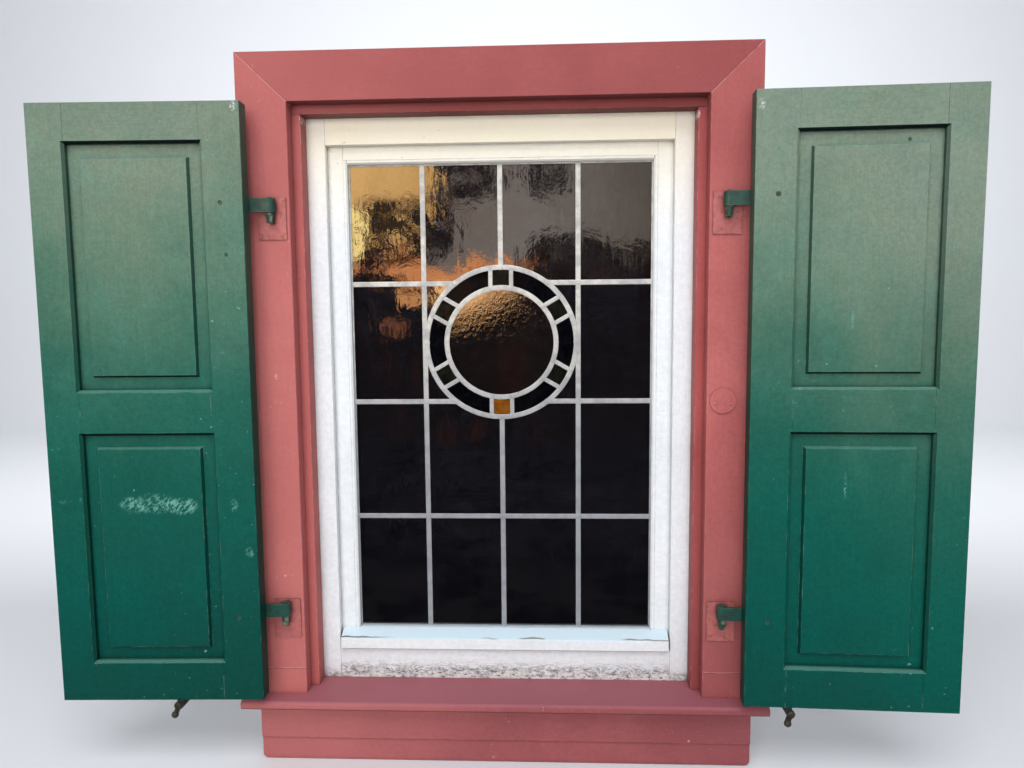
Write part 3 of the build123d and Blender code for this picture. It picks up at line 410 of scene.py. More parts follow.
def peel(r, none, full):
    """Flaking from the height none down to the height full: bare, greyed wood inside dark, lumpy rims."""
    low = r.span(r.z, none, full)
    flakes = r.noise(30.0, 6.0, 0.78, r.stretched((1.0, 1.0, 2.2)))
    past_rim = r.calc("SUBTRACT", flakes, r.calc("SUBTRACT", 0.66, r.calc("MULTIPLY", low, 0.24)))
    lost = r.both(r.span(past_rim, 0.0, 0.02), r.span(low, 0.0, 0.25))
    rim = r.both(r.span(r.calc("ABSOLUTE", past_rim), 0.02, 0.0), low)
    r.cover(tone(226, 224, 220), r.both(lost, 0.8))
    r.cover(tone(98, 90, 84), r.both(rim, 0.8))
    flecks = r.noise(120.0, 5.0, 0.8, r.stretched((0.6, 1.0, 1.5)))
    crumbs = r.both(r.span(flecks, 0.55, 0.58), r.span(low, 0.15, 0.7))
    along = r.noise(46.0, 5.0, 0.7, r.stretched((1.0, 1.0, 4.0)))
    cracks = r.both(r.span(r.calc("ABSOLUTE", r.calc("SUBTRACT", along, 0.5)), 0.014, 0.005), low)
    r.cover(tone(82, 74, 68), r.both(r.either(crumbs, cracks), 0.85))
    r.press(r.either(lost, crumbs, cracks), -FLAKE_DEPTH, 0.9)
    r.press(flakes, FLAKE_RELIEF, 0.45)


def white_paint(grain, warm_reflection=0.0):
    """White with a painted warm reflection that turns it cream towards the window's head, or by a share of
    its own, and painted shade and sky light on its faces.
    """
    name = "white_paint_{}_{:.0f}".format(grain, 100 * warm_reflection)
    r = brushed(name, grain, tone(232, 234, 236), tone(225, 228, 231), 0.02, 0.38)
    # Painted warm reflection of a sunlit house: cream towards the window's head, or by a given share
    upper = r.span(r.z, 0.88, 1.16, 0.0, 0.62)
    r.cover(tone(248, 234, 202), r.either(upper, warm_reflection))
    rub_and_chip(r, tone(176, 166, 152), 0.5)
    # Painted shade with dirt in corners, painted shade on faces that look down, painted sky light on faces
    # that look up
    corner_dirt_and_shade(r, tone(132, 126, 116), 0.75)
    shade_facing_down(r, tone(188, 184, 176), 0.6)
    painted_sky_light(r, tone(206, 232, 246), 0.75)
    return r


def upright_white():
    """White of the uprights and fittings, which flakes only at the feet."""
    r = white_paint("z")
    peel(r, *FLAKING_UPRIGHT)
    return seal(r)


def peeling_white():
    """White of the lowest rail, which flakes and greys towards the sill."""
    r = white_paint("x")
    r.material.name = "white_paint_peeling"
    peel(r, *FLAKING_RAIL)
    return seal(r)


def weather_bar_white():
    """White with cracks along the bar's bend."""
    r = white_paint("x")
    r.material.name = "white_paint_cracked"
    wander = r.span(r.noise(30.0, 3.0), 0.2, 0.8, -BAR_CRACK_WANDER, BAR_CRACK_WANDER)
    from_bend = r.calc("ABSOLUTE", r.calc("SUBTRACT", r.calc("ADD", r.z, wander), BAR_BEND_Z))
    places = r.either(r.span(r.x, -0.20, -0.30), r.both(r.span(r.noise(7.0, 3.0), 0.50, 0.56), 0.8))
    crack = r.both(r.span(from_bend, *BAR_CRACK_EDGES), places)
    r.cover(tone(118, 108, 98), crack)
    r.press(crack, -CRACK_DEPTH, 0.8)
    return seal(r)


def sky_sheen_green(r, side):
    """Painted sky sheen, partly sun fading: green that turns paler and greyer upwards, and on the right
    shutter also outwards.
    """
    outward = 0.0
    top_sheen = 0.10
    if side == "right":
        outward = r.span(r.x, *SHEEN_REACH, 0.05, 0.22)
        top_sheen = 0.32
    drift = r.span(r.noise(3.0, 3.0), 0.2, 0.8, -0.04, 0.04)
    sheen_place = r.calc("ADD", r.calc("ADD", r.z, drift), outward)
    height = r.span(sheen_place, *SHEEN_HEIGHTS, curve="LINEAR")
    sheen_ramp = r.ramp(height, [
        (0.00, tone(1, 71, 62)),
        (0.20, tone(1, 81, 72)),
        (0.38, tone(8, 88, 76)),
        (0.53, tone(30, 96, 82)),
        (0.68, tone(54, 104, 88)),
        (0.80, tone(80, 115, 98)),
        (1.00, tone(104, 123, 110)),
    ])
    blotches = r.span(r.noise(9.0, 4.0, 0.6), 0.30, 0.70)
    aged = r.blend(sheen_ramp, tone(128, 134, 112), r.both(r.span(height, 0.45, 0.95, 0.0, 0.34), blotches))
    teal = r.both(r.span(r.noise(19.0, 3.0, 0.6, r.stretched((1.0, 1.0, 0.7))), 0.5, 0.72), 0.25)
    aged = r.blend(aged, tone(84, 138, 124), r.both(teal, r.span(height, 0.3, 0.9)))
    return r.blend(aged, tone(146, 158, 138), r.span(r.z, 0.62, 1.12, 0.0, top_sheen))


def green_paint(grain, side):
    """Green with a painted sky sheen, a pebbled skin and scrapes from use, and painted shade in its
    corners, on faces that look down and on faces turned to the window.
    """
    name = "green_paint_" + side + "_" + grain
    r = brushed(name, grain, tone(255, 255, 255), tone(232, 238, 236), 0.035, 0.42)
    r.colour = r.blend(sky_sheen_green(r, side), r.colour, 1.0, "MULTIPLY")
    rub_and_chip(r, tone(150, 176, 160), 0.55)
    corner = (BARE_CORNERS[side], BARE_CORNER_SIZE)
    hole = (PLUGGED_HOLES[side], PLUGGED_HOLE_SIZE)
    front_marks(r, SCUFFS[side], tone(105, 162, 149), cut=0.475, drawn=2.4, least=0.2)
    front_marks(r, [corner], tone(206, 212, 206), grain=210.0, cut=0.49)
    front_marks(r, [hole], tone(30, 62, 52), grain=60.0, cut=0.2)
    # Painted sky light on faces that look up
    painted_sky_light(r, tone(104, 156, 142), 0.45)
    pebbles = r.noise(190.0, 2.0, 0.7)
    r.press(pebbles, GREEN_PEBBLES, 0.6)
    r.colour = r.shade(r.colour, 0.95, 1.05, r.span(pebbles, 0.3, 0.7))
    r.set(Specular_IOR_Level=0.10)
    # Painted shade with dirt in corners, painted shade on faces that look down, and painted shade on faces
    # turned towards the window
    corner_dirt_and_shade(r, tone(5, 24, 19), 1.0, GREEN_CORNER_SHADE_REACH)
    shade_facing_down(r, tone(3, 18, 15), 1.0)
    window_side_shade = r.both(r.facing("X"), -1.0 if side == "right" else 1.0)
    r.cover(tone(8, 52, 43), r.both(r.span(window_side_shade, 0.35, 0.8), 0.65))
    return seal(r)


# Light, deep and worn tones of the ironwork
PLATE_TONES = (tone(182, 99, 97), tone(166, 88, 86), tone(222, 180, 170))
STRAP_TONES = (tone(24, 78, 66), tone(14, 54, 46), tone(120, 128, 108))
BOLT_TONES = (tone(36, 84, 70), tone(18, 50, 42), tone(130, 156, 138))
DOG_TONES = (tone(66, 62, 56), tone(38, 34, 30), tone(120, 104, 88))
BRASS_TONES = (tone(190, 152, 84), tone(160, 122, 60), tone(220, 190, 130))


def iron(name, light, deep, worn, rough, metallic=0.0, wear=0.8):
    """Painted or bare iron with worn edges and small pits."""
    r = Recipe(name)
    clouds = r.span(r.noise(60.0, 5.0, 0.65), 0.35, 0.65)
    r.colour = r.blend(light, deep, clouds)
    r.cover(worn, r.both(r.edges(RUBBED_IRON_EDGE), r.span(r.noise(140.0, 4.0, 0.7), 0.38, 0.54), wear))
    r.press(r.noise(320.0, 3.0, 0.6), IRON_PITS, 0.6)
    r.set(Roughness=r.span(clouds, 0.0, 1.0, rough - 0.06, rough + 0.12), Metallic=metallic)
    return r


def pintle_paint():
    """Red over the plate with rusty, rubbed edges, and a green hook worn grey in its middle."""
    r = iron("pintle_paint", *PLATE_TONES, rough=0.48, wear=1.0)
    rust = r.both(r.span(r.noise(75.0, 5.0, 0.7), 0.56, 0.64), 0.6)
    r.cover(tone(126, 62, 44), rust)
    rim = r.both(r.edges(RUSTY_RIM), r.span(r.noise(60.0, 4.0, 0.7), 0.35, 0.55, 0.35, 0.9))
    r.cover(tone(112, 56, 48), rim)
    green = r.blend(tone(26, 62, 50), tone(112, 120, 102), r.span(r.noise(70.0, 4.0, 0.7), 0.50, 0.62))
    r.cover(green, r.span(r.y, *HOOK_EDGE))
    # Painted shade with dirt in the corners
    corner_dirt_and_shade(r, tone(66, 30, 28), 1.0)
    return seal(r)


def lead_metal():
    """Grey, cloudy lead, with a painted sheen that makes it paler in the panel's upper half."""
    r = Recipe("lead_strip")
    clouds = r.span(r.noise(42.0, 5.0, 0.65), 0.35, 0.65)
    # Painted sheen: paler lead in the panel's upper half
    r.colour = r.blend(tone(154, 157, 162), tone(204, 202, 196), r.span(r.z, 0.45, 0.85))
    r.cover(tone(112, 114, 120), r.both(clouds, 0.45))
    r.press(r.noise(90.0, 3.0), LEAD_RELIEF, 0.4)
    r.set(Metallic=0.15, Roughness=r.span(clouds, 0.0, 1.0, 0.45, 0.62))
    return seal(r)


# How glass departs from the clear panes: dull glass hardly mirrors, hammered glass has no drawn streaks
DULL = {"mirror": 0.01, "index": 1.06}
HAMMERED = {"mirror": 0.9, "rough": 0.02, "lean": 0.002, "streaky": 0.0}


def old_glass(name, colour, ripple, scale, mirror=1.0, index=1.35, rough=0.010, lean=0.006, streaky=1.0):
    """Dark old glass: wavy, and each pane set at its own slight lean. Where the colour is near black, it
    is painted shade of the dark room behind.
    """
    r = Recipe(name)
    seeds = r.span(r.noise(55.0, 5.0, 0.7), 0.35, 0.65)
    r.set(Base_Color=r.shade(colour, 0.55, 1.3, seeds), Transmission_Weight=1.0)
    r.set(Roughness=rough, IOR=index)
    r.set(Coat_Weight=mirror, Coat_IOR=2.0, Coat_Roughness=rough)
    own = r.node("ShaderNodeNewGeometry").outputs["Random Per Island"]
    other = r.calc("FRACT", r.calc("MULTIPLY", own, 37.0))
    slope_x = r.both(r.x, r.calc("SUBTRACT", own, 0.5))
    slope_z = r.both(r.z, r.calc("SUBTRACT", other, 0.5))
    leaning = r.bump(r.calc("ADD", slope_x, slope_z), lean, 1.0)
    waves = r.noise(scale, 4.0, 0.6, distortion=0.6)
    drawn = r.noise(scale * 1.6, 3.0, 0.5, r.stretched((1.0, 1.0, 0.2)))
    calm = r.span(own, 0.0, 1.0, 0.3, 1.0, curve="LINEAR")
    height = r.calc("ADD", waves, r.calc("MULTIPLY", drawn, streaky))
    skin = r.bump(r.calc("MULTIPLY", height, calm), ripple, 0.7, leaning)
    r.set(Normal=skin, Coat_Normal=skin)
    return r


def dress(recipe, *names):
    """Give CAD nodes one material."""
    for name in names:
        mesh = NODES[name].data
        mesh.materials.clear()
        mesh.materials.append(recipe.material)


def soften(width, *names):
    """Round off the sharp edges of boards, as thick paint does."""
    for name in names:
        node = NODES[name]
        weld = node.modifiers.new("weld", "WELD")
        weld.merge_threshold = WELD_DISTANCE
        bevel = node.modifiers.new("bevel", "BEVEL")
        bevel.width = width
        bevel.segments = 2
        bevel.limit_method = "ANGLE"
        bevel.angle_limit = SHARP_ANGLE
        node.modifiers.new("shading", "WEIGHTED_NORMAL")


CASING_UPRIGHTS = ("casing_jamb_left", "casing_jamb_right", "casing_feet")
APRONS = ("sill_board", "apron_upper", "apron_lower")
LINING_JAMBS = ("lining_jamb_left", "lining_jamb_right")
FRAME_JAMBS = ("frame_jamb_left", "frame_jamb_right")
SASH_STILES = ("sash_stile_left", "sash_stile_right")
WHITE_FITTINGS = (
    "glazing_beads",
    "hinge_frame_leaves",
    "hinge_sash_leaves",
    "rod_keeps",
    "rod_guides",
    "espagnolette_case",
    "upper_rod",
    "lower_rod",
)
SHUTTER_RAILS = ("top_rail", "middle_rail", "bottom_rail")
SHUTTER_UPRIGHTS = ("hinge_stile", "meeting_stile", "upper_panel", "lower_panel")

# Width of the rounding that thick paint gives to sharp edges
SURROUND_EDGE = 0.0012
WINDOW_EDGE = 0.0010
SHUTTER_EDGE = 0.0008
WELD_DISTANCE = 0.00001
SHARP_ANGLE = math.radians(35)


def paint_surround():
    """Red boards round the opening, and what is screwed to them."""
    # Each red below is a lit or shaded copy of one paint
    dress(casing_paint("x", "deep"), "casing_head")
    dress(red_paint("x", "purplish"), *APRONS)
    dress(casing_paint("z", "light"), *CASING_UPRIGHTS)
    dress(red_paint("z", "light"), "cover_plate", "cover_plate_screws")
    dress(chip_lining(red_paint("x", "shaded_underside")), "lining_head")
    dress(chip_lining(red_paint("z", "dark")), *LINING_JAMBS)
    dress(pintle_paint(), "pintles")
    soften(SURROUND_EDGE, "casing_head", *CASING_UPRIGHTS, *APRONS, "lining_head", *LINING_JAMBS)


def paint_frame_and_sash():
    """White bars of the frame and the sash, with the fittings that were painted over with them."""
    # The frame's head and the sash's top rail carry a painted warm reflection
    dress(seal(white_paint("x", warm_reflection=0.78)), "frame_head")
    dress(seal(white_paint("x", warm_reflection=0.56)), "sash_top_rail")
    dress(seal(white_paint("x")), "sash_bottom_rail")
    dress(weather_bar_white(), "weather_bar")
    dress(upright_white(), *FRAME_JAMBS, *SASH_STILES, *WHITE_FITTINGS)
    dress(peeling_white(), "frame_bottom_rail")
    soften(WINDOW_EDGE, "frame_head", *FRAME_JAMBS, "frame_bottom_rail")
    soften(WINDOW_EDGE, "sash_top_rail", "sash_bottom_rail", *SASH_STILES, "weather_bar")


def paint_shutters():
    """Green wood of both shutters, and the iron painted over on them."""
    for side in ("left", "right"):
        level = [side + "_" + name for name in SHUTTER_RAILS]
        upright = [side + "_" + name for name in SHUTTER_UPRIGHTS]
        dress(green_paint("x", side), *level)
        dress(green_paint("z", side), *upright)
        soften(SHUTTER_EDGE, *level, *upright)
        dress(seal(iron("green_iron_" + side, *STRAP_TONES, rough=0.45)), side + "_straps")
        dress(seal(iron("green_bolts_" + side, *BOLT_TONES, rough=0.45)), side + "_strap_bolts")


def paint_fittings():
    """Bare metal of the dogs and the handle."""
    dark_iron = iron("dark_iron", *DOG_TONES, rough=0.5, metallic=0.5)
    dress(seal(dark_iron), "dog_stays", "dog_finger_left", "dog_finger_right")
    dress(seal(iron("brass", *BRASS_TONES, rough=0.3, metallic=1.0)), "handle")


def glaze_panel():
    """Lead and glass of the panel. Only the clear panes and the roundel mirror the street. The clear panes
    and arcs are near black, painted shade of the dark room behind them.
    """
    dress(lead_metal(), "lead_border", "lead_bars", "rosette_leads")
    clear = old_glass("dark_glass", tone(12, 12, 16), ripple=0.00042, scale=30.0)
    dress(clear, "glass_panes")
    arcs = old_glass("dark_glass_arcs", tone(10, 10, 14), ripple=0.0006, scale=26.0, **DULL)
    dress(arcs, "glass_arcs")
    hammered = old_glass("hammered_glass", tone(16, 13, 12), ripple=0.00030, scale=130.0, **HAMMERED)
    dress(hammered, "glass_roundel")
    olive = old_glass("olive_glass", tone(24, 24, 18), ripple=0.0008, scale=30.0, **DULL)
    dress(olive, "glass_squares_olive")
    amber = old_glass("amber_glass", tone(126, 72, 20), ripple=0.0012, scale=60.0, **DULL)
    dress(amber, "glass_square_amber")


# The leaded panel's net: pitch of its bars, radii of the rings, and the squares between them
COLUMN = 0.1488
ROW = 0.2295
RING_R = 0.1452
INNER_RING_R = 0.1062
SQUARE_HALF = 0.020
STATIONS = 6
BORDER_LEAD = 0.0035

# Solder joints: radius where bars cross, where they end at the ring or border, and at the squares
CROSSING_R = 0.0060
RING_END_R = 0.0056
BORDER_END_R = 0.0046
SQUARE_END_R = 0.0044
SOLDER_HEIGHT = 0.0007

# Rings of a dome, from its rim up, as shares of its radius and height, and how far a rim may stray
DOME_RINGS = ((1.0, -0.3), (0.86, 0.35), (0.5, 0.85))
RAGGED = 0.16

# Screw heads: depth of the foot in its seat, and shares of the radius and of the height
SEAT = 0.0002
SLOT_SHARE = 0.18
LID_SHARE = 0.84
SLOT_FLOOR_SHARE = 0.35

# Screws in the leaves of the sash hinges, as radius and height, and their places on a leaf
LEAF_SCREW = (0.0038, 0.0009)
LEAF_SCREW_STEPS = (0.014, 0.040, 0.066)
LEAF_SCREW_INSET = 0.012
LEAF_THICKNESS = 0.0025

# Screws at both ends of the espagnolette's case, as radius and height, and their inset
CASE_SCREW = (0.0034, 0.0010)
CASE_SCREW_INSET = 0.010

# Pins in the glazing beads, as radius and height: how many a bead holds and how far from its ends
PIN = (0.0011, 0.0004)
PIN_INSET = 0.0022
UPRIGHT_PINS = 6
UPRIGHT_PIN_MARGIN = 0.06
LEVEL_PINS = 4
LEVEL_PIN_MARGIN = 0.07


def material_of(node):
    """Material that a CAD node was given."""
    return NODES[node].data.materials[0]


def new_piece(name, build, material, body):
    """Piece of the scene from a built mesh, riding on a body."""
    bmesh.ops.recalc_face_normals(build, faces=build.faces)
    mesh = bpy.data.meshes.new(name)
    build.to_mesh(mesh)
    build.free()
    mesh.shade_smooth()
    mesh.materials.append(material)
    piece = bpy.data.objects.new(name, mesh)
    bpy.context.scene.collection.objects.link(piece)
    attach(piece, body)


def ring_faces(build, lower, upper):
    """Band of faces between two closed rings of vertices."""
    for number in range(len(lower)):
        following = (number + 1) % len(lower)
        build.faces.new((lower[number], lower[following], upper[following], upper[number]))


def dome(build, centre, radius, height, out, chance=None, segments=14):
    """Low dome on a flat face that looks along out * Y, with a ragged rim where chance is given."""
    rims = [radius * (1 + (chance.uniform(-RAGGED, RAGGED) if chance else 0)) for _ in range(segments)]
    rings = []
    for share, rise in DOME_RINGS:
        ring = []
        for number, rim in enumerate(rims):
            angle = 2 * math.pi * number / segments
            reach = rim * share
            offset = Vector((math.cos(angle) * reach, out * height * rise, math.sin(angle) * reach))
            ring.append(build.verts.new(centre + offset))
        rings.append(ring)
    top = build.verts.new(centre + Vector((0, out * height, 0)))
    for lower, upper in zip(rings, rings[1:]):
        ring_faces(build, lower, upper)
    for number in range(segments):
        build.faces.new((rings[-1][number], rings[-1][(number + 1) % segments], top))


def slotted_head(build, centre, size, turn, segments=12):
    """Slotted screw head that looks into the room: two halves that stand on a low disc."""
    radius, height = size
    slot = radius * SLOT_SHARE

    def corner(u, v, w):
        x = u * math.cos(turn) - v * math.sin(turn)
        z = u * math.sin(turn) + v * math.cos(turn)
        return build.verts.new(centre + Vector((x, w, z)))

    def prism(outline, lid, high):
        base = [corner(u, v, -SEAT) for u, v in outline]
        cap = [corner(u, v, high) for u, v in lid]
        ring_faces(build, base, cap)
        build.faces.new(cap)
        build.faces.new(reversed(base))

    circle = [math.pi * number / segments for number in range(2 * segments)]
    rim = [(radius * math.cos(a), radius * math.sin(a)) for a in circle]
    prism(rim, rim, height * SLOT_FLOOR_SHARE)
    start = math.asin(slot / radius)
    arc = [start + (math.pi - 2 * start) * number / segments for number in range(segments + 1)]
    for side in (1, -1):
        outline = [(radius * math.cos(a), side * radius * math.sin(a)) for a in arc]
        lid = [(u * LID_SHARE, side * max(abs(v) * LID_SHARE, slot)) for u, v in outline]
        prism(outline, lid, height)


def lead_joints():
    """Centres and sizes of the solder joints, in the panel's plane."""
    low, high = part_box("lead_border")
    roundel_low, roundel_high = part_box("glass_roundel")
    centre_z = (roundel_low.z + roundel_high.z) / 2
    middle = (low.z + high.z) / 2
    columns = (-COLUMN, 0.0, COLUMN)
    rows = (middle - ROW, middle, middle + ROW)
    joints = []
    for x in columns:
        joints += [(x, z, BORDER_END_R) for z in (low.z + BORDER_LEAD, high.z - BORDER_LEAD)]
        joints += [(x, z, CROSSING_R) for z in rows if math.hypot(x, z - centre_z) > RING_R]
    for z in rows:
        joints += [(x, z, BORDER_END_R) for x in (low.x + BORDER_LEAD, high.x - BORDER_LEAD)]
        if abs(z - centre_z) < RING_R:
            reach = math.sqrt(RING_R ** 2 - (z - centre_z) ** 2)
            joints += [(x, z, RING_END_R) for x in (-reach, reach)]
    joints += [(0.0, centre_z + rise, RING_END_R) for rise in (-RING_R, RING_R)]
    joints += [(x, centre_z, RING_END_R) for x in (-RING_R, RING_R)]
    for number in range(STATIONS):
        turn = 2 * math.pi * number / STATIONS
        for radius in (RING_R, INNER_RING_R):
            for side in (-1, 1):
                along = math.sqrt(radius ** 2 - SQUARE_HALF ** 2)
                x = side * SQUARE_HALF * math.cos(turn) + along * math.sin(turn)
                z = along * math.cos(turn) - side * SQUARE_HALF * math.sin(turn)
                joints.append((x, centre_z + z, SQUARE_END_R))
    return joints


def make_solder_joints():
    """Flat blobs of solder where the leads meet, on both faces of the panel."""
    low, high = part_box("lead_bars")
    chance = random.Random(7)
    for name, y, out in (("solder_front", low.y, -1), ("solder_back", high.y, 1)):
        build = bmesh.new()
        for x, z, radius in lead_joints():
            dome(build, Vector((x, y, z)), radius, SOLDER_HEIGHT, out, chance)
        new_piece(name, build, material_of("lead_bars"), "sash")


def make_hinge_screws(chance):
    """Three slotted screws in each half of every sash hinge."""
    for node, body in (("hinge_frame_leaves", "window_frame"), ("hinge_sash_leaves", "sash")):
        low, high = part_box(node)
        flat_x = low.x + LEAF_SCREW_INSET if body == "window_frame" else high.x - LEAF_SCREW_INSET
        build = bmesh.new()
        for end_z, inward in ((low.z, 1), (high.z, -1)):
            for step in LEAF_SCREW_STEPS:
                centre = Vector((flat_x, low.y + LEAF_THICKNESS, end_z + inward * step))
                slotted_head(build, centre, LEAF_SCREW, chance.uniform(0, math.pi))
        new_piece(node.replace("leaves", "screws"), build, material_of(node), body)


def make_case_screws(chance):
    """Slotted screws at both ends of the espagnolette's case."""
    low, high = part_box("espagnolette_case")
    build = bmesh.new()
    for z in (low.z + CASE_SCREW_INSET, high.z - CASE_SCREW_INSET):
        centre = Vector(((low.x + high.x) / 2, high.y, z))
        slotted_head(build, centre, CASE_SCREW, chance.uniform(0, math.pi))
    new_piece("case_screws", build, material_of("espagnolette_case"), "sash")


def spread(low, high, margin, count):
    """Evenly spaced places between two ends, the first and last a margin inside them."""
    return [low + margin + step * (high - low - 2 * margin) / (count - 1) for step in range(count)]


def make_bead_pins():
    """Heads of the pins along the glazing beads."""
    low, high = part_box("glazing_beads")
    places = []
    for x in (low.x + PIN_INSET, high.x - PIN_INSET):
        places += [(x, z) for z in spread(low.z, high.z, UPRIGHT_PIN_MARGIN, UPRIGHT_PINS)]
    for z in (low.z + PIN_INSET, high.z - PIN_INSET):
        places += [(x, z) for x in spread(low.x, high.x, LEVEL_PIN_MARGIN, LEVEL_PINS)]
    build = bmesh.new()
    for x, z in places:
        dome(build, Vector((x, low.y, z)), *PIN, -1, segments=8)
    new_piece("bead_pins", build, material_of("glazing_beads"), "sash")


def make_camera():
    """Camera at the photograph's viewpoint."""
    yaw = math.radians(YAW)
    pitch = math.radians(PITCH)
    roll = math.radians(ROLL)
    forward = Vector((-math.sin(yaw) * math.cos(pitch), math.cos(yaw) * math.cos(pitch), -math.sin(pitch)))
    level = forward.cross(Vector((0, 0, 1))).normalized()
    upright = level.cross(forward)
    right = math.cos(roll) * level + math.sin(roll) * upright
    up = math.cos(roll) * upright - math.sin(roll) * level
    turn = Matrix((right, up, -forward)).transposed().to_4x4()
    data = bpy.data.cameras.new("camera")
    data.sensor_fit = "HORIZONTAL"
    data.sensor_width = SENSOR_W
    data.lens = FOCAL_PIXELS * SENSOR_W / PICTURE_W
    camera = bpy.data.objects.new("camera", data)
    camera.matrix_world = Matrix.Translation(EYE) @ turn
    bpy.context.scene.collection.objects.link(camera)
    bpy.context.scene.camera = camera


def soft_lamp(name, place, target, size, power, colour=(1.0, 1.0, 1.0)):
    """Rectangular lamp that looks from its place at a target and isn't seen itself."""
    data = bpy.data.lights.new(name, "AREA")
    data.shape = "RECTANGLE"
    data.size, data.size_y = size
    data.energy = power
    data.color = colour
    lamp = bpy.data.objects.new(name, data)
    lamp.location = place
    lamp.rotation_mode = "QUATERNION"
    lamp.rotation_quaternion = (Vector(target) - Vector(place)).to_track_quat("-Z", "Y")
    lamp.visible_camera = False
    bpy.context.scene.collection.objects.link(lamp)


def staged_mesh(name, verts, faces):
    """Mesh that belongs to the stage and not to the window."""
    mesh = bpy.data.meshes.new(name)
    mesh.from_pydata(verts, [], faces)
    made = bpy.data.objects.new(name, mesh)
    bpy.context.scene.collection.objects.link(made)
    return made


FLOOR_Z = CAD_BOX[0].z - 0.001


def make_backdrop():
    """Pale floor that runs up into a pale backdrop."""
    front = -6.0
    bend = 1.2
    far = 5.2
    top = 7.0
    half_width = 9.0
    steps = 16
    profile = [(front, FLOOR_Z), (far - bend, FLOOR_Z)]
    for step in range(1, steps + 1):
        angle = math.radians(90 * step / steps)
        profile.append((far - bend + bend * math.sin(angle), FLOOR_Z + bend * (1 - math.cos(angle))))
    profile.append((far, top))
    verts = [(x, y, z) for y, z in profile for x in (-half_width, half_width)]
    faces = [(2 * i, 2 * i + 1, 2 * i + 3, 2 * i + 2) for i in range(len(profile) - 1)]
    backdrop = staged_mesh("floor_and_backdrop", verts, faces)
    backdrop.data.shade_smooth()
    r = Recipe("studio_paper")
    r.set(Base_Color=tone(236, 238, 242), Roughness=0.9, Specular_IOR_Level=0.1)
    backdrop.data.materials.append(r.material)


# What the glass mirrors is painted on two cards: an upright one before the window, and the ground
MIRROR_GAIN = 7.0
MIRROR_Y = -3.4
MIRROR_HALF_WIDTH = 6.0
MIRROR_TOP = 5.0
GROUND_END_Y = -0.30
GROUND_Z = CAD_BOX[0].z + 0.004

# Spots on the upright card, as (x, z) and half sizes: dark foliage, and warm light with its colour
FOLIAGE = (
    ((-0.40, 1.64), (0.26, 0.22)),
    ((0.10, 1.66), (0.17, 0.18)),
    ((-0.92, 1.28), (0.42, 0.26)),
    ((-1.08, 1.06), (0.20, 0.12)),
    ((-0.62, 1.30), (0.16, 0.26)),
    ((0.22, 1.12), (0.34, 0.20)),
    ((0.72, 1.08), (0.30, 0.14)),
)
GLEAMS = (
    ((-1.14, 1.30), (0.10, 0.22), tone(250, 218, 140)),
    ((-0.78, 0.90), (0.09, 0.11), tone(190, 130, 80)),
    ((-0.90, 0.68), (0.11, 0.08), tone(112, 66, 44)),
)
BRIGHT_EDGE_SLOPE = 0.464


def make_mirrored_card(name, low, high, recipe):
    """Card that only glossy surfaces see, and that shines at the level the glass mirrors back."""
    (x0, y0, z0), (x1, y1, z1) = low, high
    card = staged_mesh(name, [(x0, y0, z0), (x1, y0, z0), (x1, y1, z1), (x0, y1, z1)], [(0, 1, 2, 3)])
    for use in ("camera", "diffuse", "transmission", "shadow", "volume_scatter"):
        setattr(card, "visible_" + use, False)
    emission = recipe.node("ShaderNodeEmission", {"Color": recipe.colour, "Strength": MIRROR_GAIN})
    output = recipe.tree.nodes["Material Output"]
    recipe.tree.nodes.remove(recipe.shader)
    recipe.tree.links.new(emission.outputs[0], output.inputs["Surface"])
    card.data.materials.append(recipe.material)


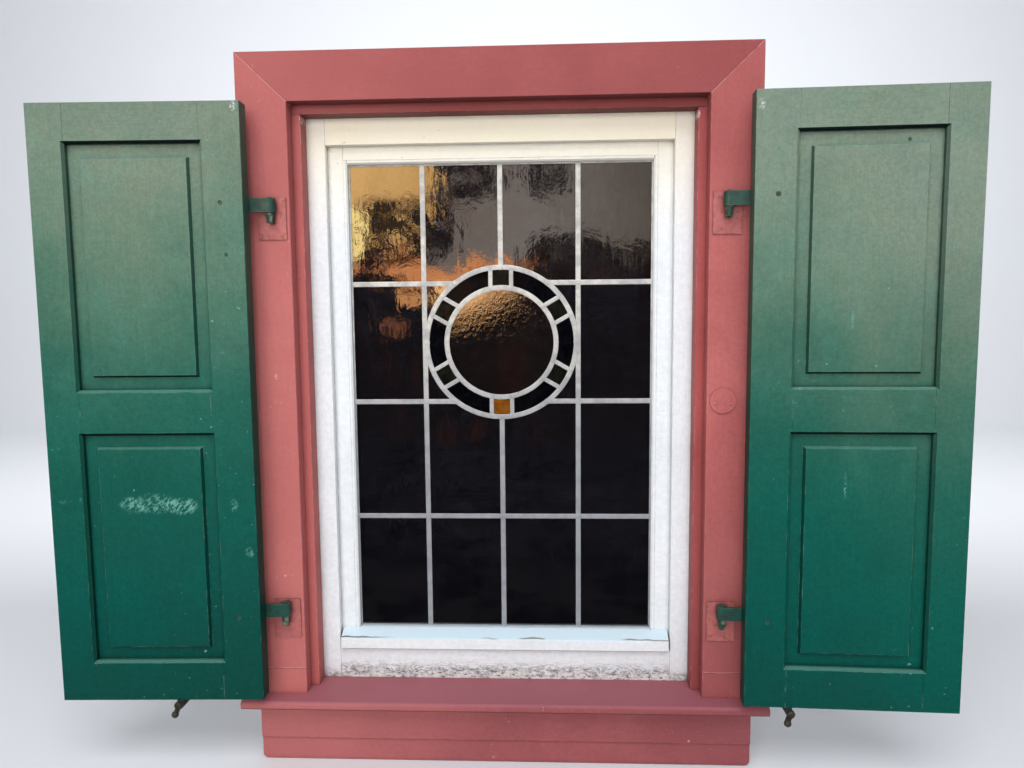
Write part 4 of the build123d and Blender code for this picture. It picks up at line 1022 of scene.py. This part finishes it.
def street_view():
    """Sunlit house front with dark foliage before it, and dark ground below it."""
    r = Recipe("mirrored_street")

    def card_spot(centre, radii):
        return r.spot((centre[0], MIRROR_Y, centre[1]), (radii[0], 1.0, radii[1]), 0.7)

    ragged = r.span(r.noise(3.2, 4.0, 0.7), 0.3, 0.7, -0.2, 0.2)
    across = r.calc("ADD", r.x, ragged)
    height = r.calc("ADD", r.z, r.calc("MULTIPLY", ragged, 0.5))
    r.colour = r.ramp(r.span(across, -1.2, 0.8, curve="LINEAR"), [
        (0.00, tone(214, 168, 104)),
        (0.28, tone(184, 140, 84)),
        (0.33, tone(104, 92, 84)),
        (0.62, tone(112, 104, 98)),
        (0.75, tone(98, 90, 82)),
        (1.00, tone(84, 76, 68)),
    ])
    low_wall = r.blend(tone(196, 126, 78), tone(40, 26, 22), r.span(across, -0.25, 0.15))
    r.cover(low_wall, r.span(height, 1.17, 1.09))
    pillars = r.span(r.noise(4.0, 4.0, 0.7, r.stretched((1.6, 1.0, 0.4))), 0.52, 0.62)
    ground = r.blend(tone(15, 12, 13), tone(38, 18, 14), r.both(pillars, r.span(across, 0.2, -0.3)))
    r.cover(ground, r.span(height, 1.02, 0.95))
    leaf = r.span(r.noise(11.0, 8.0, 0.82), 0.44, 0.47)
    for centre, radii in FOLIAGE:
        r.cover(tone(20, 12, 10), r.both(leaf, card_spot(centre, radii), 0.96))
    broken = r.span(r.noise(9.0, 6.0, 0.78), 0.42, 0.48)
    for centre, radii, colour in GLEAMS:
        r.cover(colour, r.both(card_spot(centre, radii), broken))
    tilted = r.calc("SUBTRACT", r.z, r.calc("MULTIPLY", r.x, BRIGHT_EDGE_SLOPE))
    above = r.both(r.span(tilted, 0.94, 0.98), r.span(r.z, 0.99, 0.95))
    beside = r.both(r.span(r.x, -0.03, -0.12), r.span(r.x, -0.66, -0.60))
    speckles = r.span(r.noise(26.0, 5.0, 0.8), 0.40, 0.48)
    r.cover(tone(250, 190, 128), r.both(above, beside, speckles))
    r.cover(tone(96, 101, 106), r.span(height, 1.95, 2.15))
    return r


def stony_ground():
    """Dark ground with paler stones."""
    r = Recipe("mirrored_ground")
    r.colour = r.blend(tone(8, 8, 12), tone(18, 16, 18), r.span(r.noise(6.0, 4.0), 0.4, 0.6))
    return r


def make_mirrored_cards():
    """The street across from the window, and the ground between, as the glass shows them."""
    left, right = -MIRROR_HALF_WIDTH, MIRROR_HALF_WIDTH
    foot = (left, MIRROR_Y, CAD_BOX[0].z)
    make_mirrored_card("mirrored_street", foot, (right, MIRROR_Y, MIRROR_TOP), street_view())
    far = (left, MIRROR_Y, GROUND_Z)
    make_mirrored_card("mirrored_ground", far, (right, GROUND_END_Y, GROUND_Z), stony_ground())


SKY_COLOUR = (0.94, 0.97, 1.0, 1.0)
SKY_STRENGTH = 0.36
WINDOW_MIDDLE = (0, 0, 0.5)
BACKDROP_MIDDLE = (0, 5.2, 1.9)


def make_light():
    """Even sky light, most of it from above and in front, and a lamp for the backdrop."""
    world = bpy.data.worlds.new("studio")
    world.use_nodes = True
    background = world.node_tree.nodes["Background"]
    background.inputs["Color"].default_value = SKY_COLOUR
    background.inputs["Strength"].default_value = SKY_STRENGTH
    bpy.context.scene.world = world
    cool = (0.97, 0.985, 1.0)
    soft_lamp("sky", (0.0, -3.2, 4.6), WINDOW_MIDDLE, size=(4.5, 2.6), power=150, colour=cool)
    soft_lamp("front", (-0.6, -4.4, 1.6), WINDOW_MIDDLE, size=(3.0, 2.0), power=84)
    soft_lamp("backdrop", (0, 1.0, 2.4), BACKDROP_MIDDLE, size=(6.0, 1.5), power=130)


paint_surround()
paint_frame_and_sash()
paint_shutters()
paint_fittings()
glaze_panel()
make_solder_joints()
screw_turns = random.Random(11)
make_hinge_screws(screw_turns)
make_bead_pins()
make_case_screws(screw_turns)
make_camera()
make_backdrop()
make_mirrored_cards()
make_light()
bpy.context.scene.view_settings.view_transform = "Standard"
